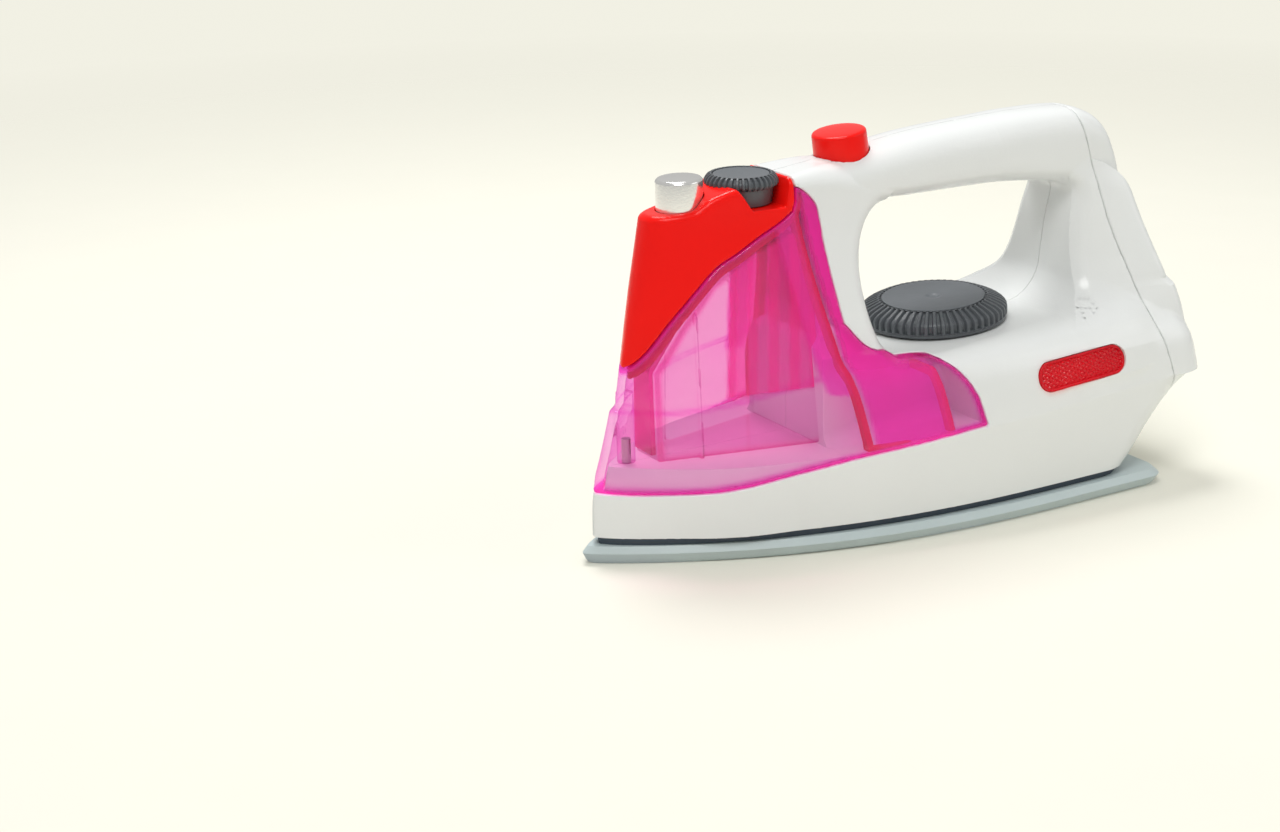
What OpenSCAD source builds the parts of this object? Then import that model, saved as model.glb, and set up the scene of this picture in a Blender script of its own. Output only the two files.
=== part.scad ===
// Toy steam iron: a white two-part body on a grey soleplate, with a clear tank round
// the nose, a red cowl, two dials, two push buttons and a lit window on each side.
// The nose points to -X, the heel to +X, and the soleplate stands on z = 0.

/* [Overall] */
// Length from the tip of the soleplate to the back of the heel
iron_l = 200; // [194:1:206]
// Height of the top of the handle above the table
iron_h = 115.4; // [113:0.1:118]
// Width of the white body at its widest
body_w = 86; // [84:1:88]
// Width of the handle
handle_w = 25.8; // [25:0.1:27]
// Height of the lower edge of the white skirt
skirt_z = 7.5; // [7.2:0.1:7.8]
// Wall of the white shells
shell_wall = 2.2; // [2:0.1:2.4]
// Gap at the seams between neighbouring covers
seam = 0.3; // [0.25:0.05:0.4]

/* [Soleplate] */
// Width of the soleplate
sole_w = 88.4; // [87:0.2:90]
// Length of the soleplate
sole_l = 182.3; // [181:0.1:184]
// Thickness of the soleplate
sole_t = 5.2; // [5:0.1:5.4]
// Height of the sharp rim between the two bevels
sole_rim_z = 3.3; // [3:0.1:3.6]
// Radius of the two rear corners of the soleplate
sole_corner_r = 7; // [6:0.5:8]
// Width of the dark strip that lies on the soleplate
gasket_w = 5; // [4.5:0.5:5.5]
// Distance of the dark strip from the skirt's outer face
gasket_inset = 1.5; // [1.3:0.1:1.7]

/* [Tank and cowl] */
// Wall of the clear tank
tank_wall = 1.8; // [1.6:0.1:2]
// Wall of the red cowl
cowl_wall = 1.8; // [1.6:0.1:2]
// Half width of the white core that the tank's rear lobes lie beside
core_half_w = 20.5; // [20:0.1:21]
// Wall of the inner reservoir
reservoir_wall = 1.5; // [1.4:0.1:1.6]
// Gap between the tank's inside and the reservoir
reservoir_gap = 1.4; // [1.2:0.1:1.6]
// Radius of the tank's screw pillar
pillar_r = 2.6; // [2.4:0.1:2.8]

/* [Temperature dial] */
// Radius of the dial over its ribs
dial_r = 22.8; // [22:0.2:23.4]
// Height of the dial
dial_h = 7; // [6.5:0.1:7.5]
// Number of ribs on the dial
dial_ribs = 54; // [44:1:60]
// Depth of the grooves between the ribs
dial_groove = 0.7; // [0.5:0.1:0.9]
// Radius of the dished disc in the dial
disc_r = 16.5; // [16:0.1:17]
// Thickness of the dished disc
disc_t = 1.4; // [1.2:0.1:1.6]
// Radius of the dial's stem
dial_stem_r = 4; // [3.8:0.1:4.4]
// Distance of the dial's axis from the middle of the iron
dial_x = 23.7; // [23:0.1:24.4]
// Angle at which the saddle, dial and windows rise to the rear
rise = 3; // [2:0.5:4]

/* [Steam dial] */
// Radius of the steam dial over its ribs
steam_r = 10.85; // [10.6:0.05:11]
// Height of the steam dial above its pocket
steam_h = 9; // [8.6:0.1:9.4]
// Height of the ribbed part of the steam dial
steam_rib_h = 4.4; // [4:0.1:4.8]
// Number of ribs on the steam dial
steam_ribs = 32; // [24:1:36]
// Radius of the steam dial's plain skirt
steam_skirt_r = 8.8; // [8.5:0.1:9]
// Radius of the steam dial's stem
steam_stem_r = 3; // [2.8:0.1:3.2]

/* [Buttons] */
// Radius of the silver spray button
spray_r = 6.8; // [6.6:0.1:6.9]
// Height of the spray button above the cowl
spray_h = 8.8; // [8.4:0.1:9.2]
// Travel of the spray button
spray_travel = 4; // [3.5:0.1:4.2]
// Radius of the red handle button
press_r = 8.3; // [8:0.1:8.5]
// Height of the red button above the handle
press_h = 6; // [5.6:0.1:6.4]
// Travel of the red button
press_travel = 2.5; // [2.2:0.1:2.8]
// Angle at which the handle rises under the red button
press_tilt = 8; // [7:0.5:9]

/* [Windows] */
// Length of a side window
window_l = 33; // [32:0.5:34]
// Height of a side window
window_h = 9; // [8.6:0.2:9.4]
// Lean of a side window, as the body's side leans inwards
window_lean = 18; // [17:0.5:19]
// Radius of a lamp
lamp_r = 2.5; // [2.4:0.1:2.6]

/* [Batteries] */
// Radius of a cell
cell_r = 7.25; // [7.1:0.05:7.3]
// Length of a cell
cell_l = 50.5; // [50:0.5:51]
// Wall of the battery box
box_wall = 1.5; // [1.4:0.1:1.6]
// Thickness of the battery door
door_t = 2; // [1.8:0.1:2.2]

/* [Inner parts] */
// Thickness of the inner frame's plate
frame_t = 2.5; // [2.3:0.1:2.7]
// Half width of the inner frame's plate
frame_half_w = 17.5; // [17:0.1:17.8]
// Radius of the inner frame's legs
leg_r = 4; // [3.8:0.1:4.2]
// Thickness of the circuit board
board_t = 1.6; // [1.5:0.1:1.7]
// Radius of the speaker
speaker_r = 18; // [17:0.5:18.5]
// Radius of the screws' shanks
screw_r = 1.4; // [1.3:0.1:1.5]
// Radius of the screws' heads
screw_head_r = 2.8; // [2.6:0.1:3]
// Radius of the wire in the springs
wire_r = 0.4; // [0.35:0.05:0.45]

/* [Clearances] */
// Radial clearance of a turning or sliding fit
run_fit = 0.06; // [0.04:0.01:0.08]
// Clearance round a fixed piece
fit = 0.25; // [0.2:0.05:0.3]

/* [Hidden] */
$fn = 48;

// A cut runs past the faces that it opens by this much
over = shell_wall;
// Thickness of the thin slices that a hull runs between
slice_t = seam / 3;
// Half of the widest cut across the iron
wide = body_w;

// Side outlines are given as shares of the iron's length, from the nose, and of its height.
function side(s) = [iron_l * (s[0] - 1 / 2), iron_h * s[1]];
function outline(shares) = [for (s = shares) side(s)];

// Decks of the lower body: height, nose, stern, half width; the body widens up to its crease.
hull_deck_shares = [[skirt_z / iron_h, 0.012, 0.872, 0.965], [0.13, 0.013, 0.901, 0.978],
  [0.211, 0.019, 0.95, 0.99], [0.261, 0.027, 1, 1], [0.295, 0.033, 0.998, 1], [0.381, 0.046, 0.991, 0.945]];
// Decks of the shoulder: height, where the deck is cut off in front, stern, half width
shoulder_deck_shares = [[0.381, 0.046, 0.991, 0.945], [0.403, 0.14, 0.989, 0.915],
  [0.425, 0.25, 0.986, 0.87], [0.446, 0.31, 0.983, 0.81], [0.464, 0.35, 0.98, 0.73], [0.477, 0.39, 0.977, 0.63]];
// Half widths above the lower body run from the handle's, at a share of 0, to the body's, at a share of 1.
// Decks of the nose tower: height, nose, rear of the front column, share of width, roundness
tower_deck_shares = [
  [0.35, 0.056, 0.44, 0.5429, 0.85], [0.433, 0.0635, 0.445, 0.4571, 0.8], [0.52, 0.075, 0.437, 0.35, 0.72],
  [0.607, 0.085, 0.4325, 0.2214, 0.62], [0.693, 0.095, 0.435, 0.1143, 0.5], [0.78, 0.105, 0.4525, 0.0357, 0.42],
  [0.832, 0.111, 0.485, 0.0071, 0.36], [0.97, 0.124, 0.5, -0.0286, 0.32]];
// Decks of the heel column: height, front, rear, share of width in front and behind
heel_deck_shares = [
  [0.433, 0.78, 0.9875, 0.5714, 0.7143], [0.485, 0.8025, 0.981, 0.4286, 0.6643], [0.529, 0.814, 0.975, 0.2714, 0.6],
  [0.563, 0.818, 0.963, 0.1714, 0.5357], [0.618, 0.822, 0.953, 0.0857, 0.4714], [0.693, 0.83, 0.9535, 0.0357, 0.3714],
  [0.777, 0.84, 0.9545, 0, 0.2357], [0.858, 0.84, 0.935, 0, 0.1], [0.9185, 0.84, 0.9275, -0.0286, 0]];
// Stations of the handle: place along the iron, underside, top, share of the handle's width
handle_station_shares = [
  [0.33, 0.78, 0.924, 0.867], [0.4, 0.79, 0.942, 0.933], [0.475, 0.81, 0.961, 1], [0.573, 0.81, 0.983, 1],
  [0.685, 0.815, 0.995, 1], [0.791, 0.803, 1, 1], [0.86, 0.775, 0.995, 1], [0.895, 0.765, 0.973, 0.967],
  [0.92, 0.765, 0.94, 0.9], [0.9325, 0.78, 0.9, 0.8]];

// Lower edge of the tank, from the nose to the rear lobe
tank_edge_shares = [[0.015, 0.178], [0.081, 0.176], [0.167, 0.183], [0.27, 0.211], [0.356, 0.235],
  [0.468, 0.254], [0.569, 0.271]];
// Rear edge of the tank's lobe, up to the front column
lobe_edge_shares = [[0.559, 0.344], [0.544, 0.392], [0.52, 0.439], [0.483, 0.472], [0.454, 0.476],
  [0.426, 0.48], [0.404, 0.503], [0.38, 0.557]];
// Rear edge of the tank and cowl, up the front column
column_edge_shares = [[0.38, 0.557], [0.369, 0.642], [0.352, 0.746], [0.343, 0.834], [0.336, 0.9]];
// Seam between the cowl and the tank
cowl_edge_shares = [[0.06, 0.481], [0.071, 0.481], [0.09, 0.518], [0.122, 0.6], [0.159, 0.672],
  [0.195, 0.728], [0.23, 0.758], [0.265, 0.79], [0.3, 0.818], [0.337, 0.862]];
// Top line of the cowl, rising to the handle
top_edge_shares = [[0.1, 0.858], [0.17, 0.868], [0.195, 0.893], [0.235, 0.913], [0.32, 0.925], [0.5, 0.966]];
// Parting line of the heel cover
heel_edge_shares = [[0.855, 1.02], [0.8595, 0.951], [0.873, 0.851], [0.885, 0.684], [0.902, 0.537],
  [0.9145, 0.394], [0.926, 0.299], [0.935, 0.228]];
// Bottom of the heel cover, along the sloping underside
heel_foot_shares = [[0.97, 0.2], [1.05, 0.2], [1.05, 1.02]];
// A point above and in front of the nose that closes the nose outlines, and one above the column
nose_close_shares = [[0.336, 1.1], [-0.1, 1.1], [-0.1, 0.178]];
// Where the white core's front wall stands, and where the lobes' outline starts
core_front_share = 0.345;
core_top_share = 0.49;
// Height of the plinth inside the tank's skirt
plinth_share = 0.24;

// Curve of a plan outline: full width is reached after the taper
taper_share = 0.735;
tower_taper_share = 0.3;
plan_fullness = 2.6;
hull_roundness = 0.88;
plan_steps = 9;
plan_spacing = 1.7;
corner_steps = 3;
body_corner_r = body_w * 0.11;
tower_corner_share = 0.45;

function column_w(share) = handle_w / 2 + (body_w - handle_w) / 2 * share;
function plan_y(t, roundness) = pow(1 - pow(1 - min(t, 1), plan_fullness), roundness);
// Half of a plan outline from a blunt cut in front to a round corner behind
function plan_side(nose, cut, stern, half_w, taper, roundness, r) = concat(
  [for (i = [0:plan_steps]) let (t = pow(i / plan_steps, plan_spacing), x = nose + t * min(taper, stern - r - nose))
    [max(x, cut), half_w * plan_y((x - nose) / taper, roundness)]],
  [for (i = [1:corner_steps]) let (a = 90 - 90 * i / corner_steps) [stern - r + r * cos(a),
    half_w * plan_y((stern - r - nose) / taper, roundness) - r + r * sin(a)]]);
function both_sides(points) = concat(points, [for (i = [len(points) - 1:-1:0]) [points[i][0], -points[i][1]]]);

module plate(points, z) translate([0, 0, z]) linear_extrude(slice_t) polygon(both_sides(points));

module boat_deck(row, cut, inset) plate(plan_side(side([row[1], 0])[0] + inset, cut,
  side([row[2], 0])[0] - inset, body_w / 2 * row[3] - inset, iron_l * taper_share, hull_roundness,
  body_corner_r - inset), iron_h * row[0]);

// Lower body; its inside runs down past the open bottom
module lower_body(inset) {
  for (i = [0:len(hull_deck_shares) - 2]) hull() {
    boat_deck(hull_deck_shares[i], -iron_l, inset);
    boat_deck(hull_deck_shares[i + 1], -iron_l, inset);
  }
  if (inset > 0) hull() {
    boat_deck(hull_deck_shares[0], -iron_l, inset);
    translate([0, 0, -over]) boat_deck(hull_deck_shares[0], -iron_l, inset);
  }
}

// The saddle in front of the heel, cut at the rise of the dial
saddle_z = iron_h * 0.4585;
module saddle_cut(inset) translate([dial_x, 0, saddle_z - inset]) rotate([0, -rise, 0])
  translate([-iron_l / 4, -wide, 0]) cube([iron_l / 2, 2 * wide, body_w]);

module shoulder(inset) difference() {
  for (i = [0:len(shoulder_deck_shares) - 2]) hull() for (k = [i, i + 1]) {
    row = shoulder_deck_shares[k];
    translate([0, 0, -inset / 2]) boat_deck([row[0], hull_deck_shares[5][1], row[2], row[3]],
      side([row[1], 0])[0] + inset, inset);
  }
  saddle_cut(inset);
}

module tower_deck(row, inset) plate(plan_side(side([row[1], 0])[0] + inset, -iron_l,
  side([row[2], 0])[0] - inset, column_w(row[3]) - inset, iron_l * tower_taper_share, row[4],
  (column_w(row[3]) - inset) * tower_corner_share), iron_h * row[0]);

// Nose tower and front column, cut along the rising top line
module tower(inset) difference() {
  for (i = [0:len(tower_deck_shares) - 2]) hull() {
    tower_deck(tower_deck_shares[i], inset);
    tower_deck(tower_deck_shares[i + 1], inset);
  }
  translate([0, 0, -inset]) rotate([90, 0, 0]) linear_extrude(2 * wide, center = true)
    polygon(concat([side([-0.1, 0.858])], outline(top_edge_shares),
      [side([0.6, 1]), side([0.6, 1.2]), side([-0.1, 1.2])]));
}

function heel_side(front, rear, front_w, rear_w, r) = concat(
  [[front, 0], [front, front_w * 0.6], [front + r * 0.3, front_w]],
  [for (i = [0:corner_steps]) let (a = 90 - 90 * i / corner_steps) [rear - r + r * cos(a), rear_w - r + r * sin(a)]]);

module heel_deck(row, inset) plate(heel_side(side([row[1], 0])[0] + inset, side([row[2], 0])[0] - inset,
  column_w(row[3]) - inset, column_w(row[4]) - inset, body_corner_r - inset), iron_h * row[0]);

module heel(inset) for (i = [0:len(heel_deck_shares) - 2]) hull() {
  heel_deck(heel_deck_shares[i], inset);
  heel_deck(heel_deck_shares[i + 1], inset);
}

// A rounded slice across the handle
handle_roundness = 0.8;
handle_sides = 20;
module handle_slice(row, inset) {
  low = iron_h * row[1] + inset;
  high = iron_h * row[2] - inset;
  half_w = handle_w / 2 * row[3] - inset;
  translate([side([row[0], 0])[0] - inset, 0, (low + high) / 2]) rotate([90, 0, 90]) linear_extrude(slice_t)
    polygon([for (i = [0:handle_sides - 1]) let (a = 360 * i / handle_sides)
      [half_w * sign(cos(a)) * pow(abs(cos(a)), handle_roundness),
       (high - low) / 2 * sign(sin(a)) * pow(abs(sin(a)), handle_roundness)]]);
}

module handle(inset) for (i = [0:len(handle_station_shares) - 2]) hull() {
  handle_slice(handle_station_shares[i], inset);
  handle_slice(handle_station_shares[i + 1], inset);
}

// The whole outer form, drawn in by an inset
module iron_form(inset) {
  lower_body(inset);
  shoulder(inset);
  tower(inset);
  handle(inset);
  heel(inset);
}

module side_block(shares, grow) rotate([90, 0, 0]) linear_extrude(2 * wide, center = true)
  offset(delta = grow) polygon(outline(shares));

// The part of the nose that the tank and the cowl cover
module nose_block(grow) {
  side_block(concat([for (i = [0:3]) tank_edge_shares[i]], [[core_front_share, 0.232],
    [core_front_share, core_top_share]], column_edge_shares, nose_close_shares), grow);
  lobe_block(grow);
}

// The lobes of the tank, beside the white core
module lobe_block(grow) difference() {
  side_block(concat([for (i = [3:6]) tank_edge_shares[i]], lobe_edge_shares, [[0.3, 0.557]]), grow);
  translate([-iron_l / 2, -core_half_w + grow, 0]) cube([iron_l, 2 * (core_half_w - grow), iron_h]);
}

// What the white body loses at the nose: the space above its plinth, and a step round it for the tank's skirt
module nose_cut(grow) {
  side_block(concat([[-0.1, plinth_share], [core_front_share, plinth_share], [core_front_share, core_top_share]],
    column_edge_shares, [for (i = [0:1]) nose_close_shares[i]]), grow);
  lobe_block(grow);
  difference() {
    nose_block(grow);
    iron_form(tank_wall + seam + grow);
  }
}

module cowl_block(grow) side_block(concat([[-0.1, 0.481]], cowl_edge_shares,
  [[0.34, 0.9], [0.34, 1.1], [-0.1, 1.1]]), grow);
module heel_block(grow) side_block(concat(heel_edge_shares, heel_foot_shares), grow);

// Places of the parts along the iron and above the table
spray_x = iron_l * -0.3275;
cowl_top_z = iron_h * 0.868;
steam_x = iron_l * -0.225;
pocket_z = iron_h * 0.855;
press_x = iron_l * -0.0525;
press_z = iron_h * 0.9535;
window_x = iron_l * 0.2475;
window_y = body_w * 0.4765;
window_z = iron_h * 0.37;
frame_z = iron_h * 0.256;
speaker_x = iron_l * -0.225;
box_x = dial_x + iron_l * 0.0065;
bay_l = cell_l + 2 * box_wall + 6 * wire_r;
bay_w = 4 * cell_r + 3 * fit;
door_z = sole_t / 8;
cell_z = door_z + door_t + cell_r + fit;
bay_top = cell_z + cell_r + fit;
window_flange = window_h * 0.1;
window_depth = shell_wall * 1.7;

// Turns and places a piece on the tilted axis of the temperature dial, on the saddle
module on_dial() translate([dial_x, 0, saddle_z]) rotate([0, -rise, 0]) children();
// Turns and places a piece on the tilted axis of the red button, on the handle
module on_press() translate([press_x, 0, press_z]) rotate([0, -press_tilt, 0]) children();
// Places a piece on the outer face of a side window; its depth runs outwards along +Z
module on_window(left) mirror([0, left ? 0 : 1, 0]) translate([window_x, -window_y, window_z])
  rotate([90 - window_lean, -rise, 0]) children();

module stadium(l, h, t) linear_extrude(t) {
  square([l - h, h], center = true);
  for (s = [-1, 1]) translate([s * (l - h) / 2, 0]) circle(h / 2);
}

// Screws across the body: place along the iron and height, as shares
body_screw_shares = [[0.385, 0.335], [0.86, 0.335], [0.65, 0.905], [0.82, 0.88]];
boss_r = screw_r + shell_wall;
screw_l = iron_h * 0.12;
screw_seat_y = screw_l / 2;

module across(shares) for (s = shares) translate([side(s)[0], 0, side(s)[1]]) rotate([-90, 0, 0]) children();

// One half of the white body, parted along its middle; a recess takes each screw's head
module half(recess) difference() {
  union() {
    difference() {
      iron_form(0);
      nose_cut(0);
      heel_block(0);
      difference() {
        iron_form(shell_wall);
        nose_cut(shell_wall);
      }
    }
    // Bosses for the screws that join the two halves
    intersection() {
      union() {
        across(body_screw_shares) cylinder(r = boss_r, h = body_w, center = true, $fn = 16);
      }
      difference() {
        iron_form(shell_wall / 2);
        nose_cut(shell_wall / 2);
      }
    }
  }
  across(body_screw_shares) cylinder(r = screw_r + fit, h = screw_l + 2 * fit, center = true, $fn = 12);
  if (recess) mirror([0, 1, 0]) across(body_screw_shares) translate([0, 0, screw_seat_y])
    cylinder(r = screw_head_r + fit, h = body_w, $fn = 16);
  // Openings for the dial's stem, the red button, a window and the tank's screw
  on_dial() translate([0, 0, -2 * over]) cylinder(r = dial_stem_r + fit, h = 4 * over, $fn = 32);
  on_press() translate([0, 0, -2 * over]) cylinder(r = press_r + fit, h = 4 * over, $fn = 32);
  on_window(true) translate([0, 0, -3 * over]) stadium(window_l + 2 * fit, window_h + 2 * fit, 6 * over,
    $fn = 24);
  translate([pillar_x, 0, 0]) cylinder(r = screw_r + fit, h = iron_h / 3, $fn = 12);
  translate([-iron_l, 0, -iron_h]) cube([2 * iron_l, wide, 3 * iron_h]);
}

module body_left() color("whitesmoke") half(false);
module body_right() color("whitesmoke") mirror([0, 1, 0]) half(true);

module rear_cover() color("whitesmoke") difference() {
  intersection() {
    iron_form(0);
    heel_block(-seam);
  }
  iron_form(shell_wall);
}

// Screw pillar of the tank, near the nose
pillar_x = iron_l * -0.425;
pillar_h = iron_h * 0.18;
tank_floor_z = iron_h * plinth_share;

module water_tank() color([0.95, 0.25, 0.7, 0.5]) difference() {
  union() {
    difference() {
      intersection() {
        iron_form(0);
        nose_block(-seam);
      }
      cowl_block(seam);
      iron_form(tank_wall);
    }
    intersection() {
      translate([pillar_x, 0, tank_floor_z + seam]) cylinder(r = pillar_r, h = pillar_h, $fn = 16);
      iron_form(tank_wall / 2);
      nose_block(-seam);
    }
  }
  translate([pillar_x, 0, 0]) cylinder(r = screw_r, h = tank_floor_z + iron_h * 0.1, $fn = 12);
}

// Outline of the reservoir inside the tank, its plan at the foot and the top, and the places of its ribs
reservoir_shares = [[0.11, 0.2435], [0.34, 0.2435], [0.34, 0.5], [0.36, 0.58], [0.335, 0.78],
  [0.27, 0.745], [0.2, 0.675], [0.15, 0.57], [0.11, 0.47]];
reservoir_foot_shares = [[0.11, 0.17], [0.34, 0.44]];
reservoir_top_shares = [[0.11, 0.12], [0.37, 0.22]];
reservoir_rib_shares = [0.17, 0.25, 0.29];
// Filling hole in the top of the reservoir, under the steam dial
filler_share = 0.3;
filler_r = pillar_r;

module wedge(shares, z, inset) plate([for (s = shares) [side(s)[0], body_w / 2 * s[1] - inset]], z);
module reservoir_block(inset) intersection() {
  iron_form(tank_wall + reservoir_gap + inset);
  side_block(reservoir_shares, -inset);
  hull() {
    wedge(reservoir_foot_shares, iron_h * 0.2, inset);
    wedge(reservoir_top_shares, iron_h * 0.85, inset);
  }
}

module inner_reservoir() color([0.9, 0.1, 0.55, 0.6]) {
  difference() {
    reservoir_block(0);
    reservoir_block(reservoir_wall);
    translate([side([filler_share, 0])[0], 0, iron_h / 2]) cylinder(r = filler_r, h = iron_h, $fn = 24);
  }
  intersection() {
    difference() {
      reservoir_block(reservoir_wall / 2);
      reservoir_block(2 * reservoir_wall);
    }
    union() for (s = reservoir_rib_shares) translate([side([s, 0])[0], -wide, 0])
      cube([reservoir_wall, 2 * wide, iron_h]);
  }
}

// The cowl, with the round pocket and the side notches of the steam dial
notch_shares = [[0.238, 1], [0.236, 0.915], [0.259, 0.855], [0.312, 0.855], [0.32, 0.92], [0.318, 1]];
module front_cowl() color("red") difference() {
  union() {
    difference() {
      intersection() {
        iron_form(0);
        nose_block(-seam);
        cowl_block(0);
      }
      iron_form(cowl_wall);
    }
    intersection() {
      iron_form(0);
      translate([steam_x, 0, pocket_z - cowl_wall])
        cylinder(r = steam_r + fit + cowl_wall, h = iron_h, $fn = 40);
      nose_block(-seam);
    }
  }
  translate([steam_x, 0, pocket_z]) cylinder(r = steam_r + fit, h = iron_h, $fn = 40);
  translate([0, 0, slice_t]) side_block(notch_shares, 0);
  translate([steam_x, 0, 0]) cylinder(r = steam_stem_r + fit, h = iron_h, $fn = 24);
  translate([spray_x, 0, pocket_z - iron_h / 10]) cylinder(r = spray_r + fit, h = iron_h, $fn = 32);
}

// A round plate with square grooves in its edge
module ribbed(r, groove, count, h) linear_extrude(h) polygon([for (i = [0:count - 1], k = [0:3])
  let (a = 360 * (i + k / 4) / count, q = k < 2 ? r : r - groove) [q * cos(a), q * sin(a)]]);

// Places along the dial's own axis, measured from the saddle
dial_gap = seam + seam;
dial_top = dial_gap + dial_h;
dial_bevel = dial_h * 0.3;
flange_t = dial_h * 0.15;
post_top = -shell_wall - seam;
post_base = -(saddle_z - frame_z) - frame_t;
washer_t = frame_t * 0.4;

module temperature_dial() color("dimgray") on_dial() difference() {
  union() {
    intersection() {
      translate([0, 0, dial_gap + flange_t / 2])
        ribbed(dial_r - dial_groove / 5, dial_groove, dial_ribs, dial_h);
      rotate_extrude() polygon([[0, 0], [dial_r, 0], [dial_r, dial_top - dial_bevel],
        [disc_r + 2 * dial_groove, dial_top], [0, dial_top]]);
    }
    translate([0, 0, dial_gap]) cylinder(r = dial_r, h = flange_t);
    translate([0, 0, post_base]) cylinder(r = dial_stem_r, h = dial_top / 2 - post_base);
  }
  // Seat of the disc, the hollow under the dial and the screw's bore
  translate([0, 0, dial_top - disc_t]) cylinder(r = disc_r + fit / 2, h = over);
  rotate_extrude() polygon([[dial_stem_r, 0], [dial_r - 2 * over, 0], [dial_r - 2 * over, dial_h / 2],
    [dial_stem_r, dial_h / 2]]);
  translate([0, 0, post_base - over]) cylinder(r = screw_r, h = over + screw_l / 2);
}

// Shallow dish, with a small dimple in the middle
dimple_r = disc_r / 11;
module temperature_dial_disc() color("slategray") on_dial() translate([0, 0, dial_top - disc_t]) rotate_extrude()
  polygon([[0, 0], [disc_r, 0], [disc_r, disc_t], [disc_r * 0.94, disc_t], [disc_r * 0.9, disc_t * 0.6],
    [disc_r * 0.5, disc_t * 0.5], [dimple_r, disc_t * 0.5], [dimple_r * 0.6, disc_t * 0.3], [0, disc_t * 0.3]]);

module dial_retainer() color("silver") on_dial() translate([0, 0, post_base - seam - washer_t]) difference() {
  cylinder(r = dial_stem_r + shell_wall, h = washer_t);
  translate([0, 0, -over]) cylinder(r = screw_r + fit, h = washer_t + 2 * over);
}

module screw(l) {
  head_t = screw_head_r * 0.6;
  translate([0, 0, -head_t]) cylinder(r = screw_head_r, h = head_t);
  cylinder(r = screw_r - run_fit, h = l);
}

module dial_screw() color("silver") on_dial() translate([0, 0, post_base - seam - washer_t])
  screw(screw_l / 3 + washer_t);

// The inner frame: a plate on four legs round the battery box, with the dial's bearing post and the lamp arms
leg_gap = leg_r / 2;
leg_x = bay_l / 2 + box_wall + leg_gap + leg_r;
leg_y = frame_half_w - leg_r - leg_gap;
door_screw_x = box_x + leg_x;
frame_front = box_x - leg_x - leg_r - leg_gap;
frame_rear = box_x + leg_x + leg_r + leg_gap;
arm_t = lamp_r * 1.6;
lamp_y = window_y - window_depth - 3 * window_flange;
post_r = dial_stem_r + shell_wall + seam;
standoff_h = frame_t * 0.8;
standoff_shares = [[0.19, 0.13], [0.19, -0.13], [0.31, 0.13], [0.31, -0.13]];

module at_legs() for (s = [-1, 1], t = [-1, 1]) translate([box_x + s * leg_x, t * leg_y, 0]) children();
module at_standoffs() for (s = standoff_shares)
  translate([iron_l * s[0], body_w * s[1], frame_z + frame_t]) children();
module both_lamps() for (s = [-1, 1])
  translate([window_x, 0, window_z]) rotate([-90 * s, 0, 0]) children();

module inner_frame() color("gainsboro") difference() {
  union() {
    translate([frame_front, -frame_half_w, frame_z])
      cube([frame_rear - frame_front, 2 * frame_half_w, frame_t]);
    at_legs() translate([0, 0, sole_t]) cylinder(r = leg_r, h = frame_z - sole_t + frame_t);
    at_standoffs() cylinder(r = screw_r + shell_wall / 2, h = standoff_h);
    on_dial() translate([0, 0, post_base]) cylinder(r = post_r, h = post_top - post_base);
    for (s = [-1, 1]) translate([window_x - arm_t, s > 0 ? frame_half_w - frame_t : -frame_half_w, frame_z])
      cube([2 * arm_t, frame_t, window_z - frame_z + arm_t]);
    both_lamps() translate([0, 0, frame_half_w - frame_t]) cylinder(r = arm_t, h = lamp_y - frame_half_w - lamp_r);
  }
  on_dial() translate([0, 0, post_base - over])
    cylinder(r = dial_stem_r + run_fit, h = post_top - post_base + 2 * over);
  at_legs() translate([0, 0, sole_t - over]) cylinder(r = screw_r, h = screw_l);
  both_lamps() cylinder(r = lamp_r + fit / 2, h = body_w);
}

// Leaf that clicks on the dial's retainer, riveted under the plate
module detent_spring() color("silver")
  translate([dial_x + post_r * 1.3, -post_r / 2, frame_z - wire_r * 2])
  cube([post_r * 1.5, post_r, wire_r * 2]);

board_half_w = frame_half_w - frame_t - fit;
board_top = frame_z + frame_t + standoff_h + board_t;
module circuit_board() color("seagreen") difference() {
  translate([iron_l * 0.175, -board_half_w, board_top - board_t])
    cube([iron_l * 0.15, 2 * board_half_w, board_t]);
  at_standoffs() cylinder(r = screw_r / 2, h = standoff_h * 3);
}

module board_chips() color("black") {
  translate([iron_l * 0.24, -body_w * 0.05, board_top]) cube([iron_l * 0.03, body_w * 0.1, board_t]);
  for (s = [-1, 1]) translate([iron_l * 0.215, body_w * 0.1 * s, board_top]) cylinder(r = lamp_r, h = lamp_r * 2);
}

// A lamp: flange, round body and domed tip, held in each arm
module lamps() color("red") both_lamps() translate([0, 0, frame_half_w - frame_t + fit]) rotate_extrude()
  polygon([[0, 0], [lamp_r, 0], [lamp_r, lamp_y - frame_half_w],
    [lamp_r * 0.7, lamp_y - frame_half_w + lamp_r * 0.7], [0, lamp_y - frame_half_w + lamp_r]]);

// A window: a clear bar in its opening, with a thin flange inside the wall
module window(left) color([0.8, 0.05, 0.08, 0.8]) on_window(left) {
  translate([0, 0, -window_depth]) stadium(window_l, window_h, window_depth + seam);
  translate([0, 0, -window_depth - window_flange])
    stadium(window_l + 2 * window_flange, window_h + window_flange, window_flange);
}
module window_left() window(true);
module window_right() window(false);

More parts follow.
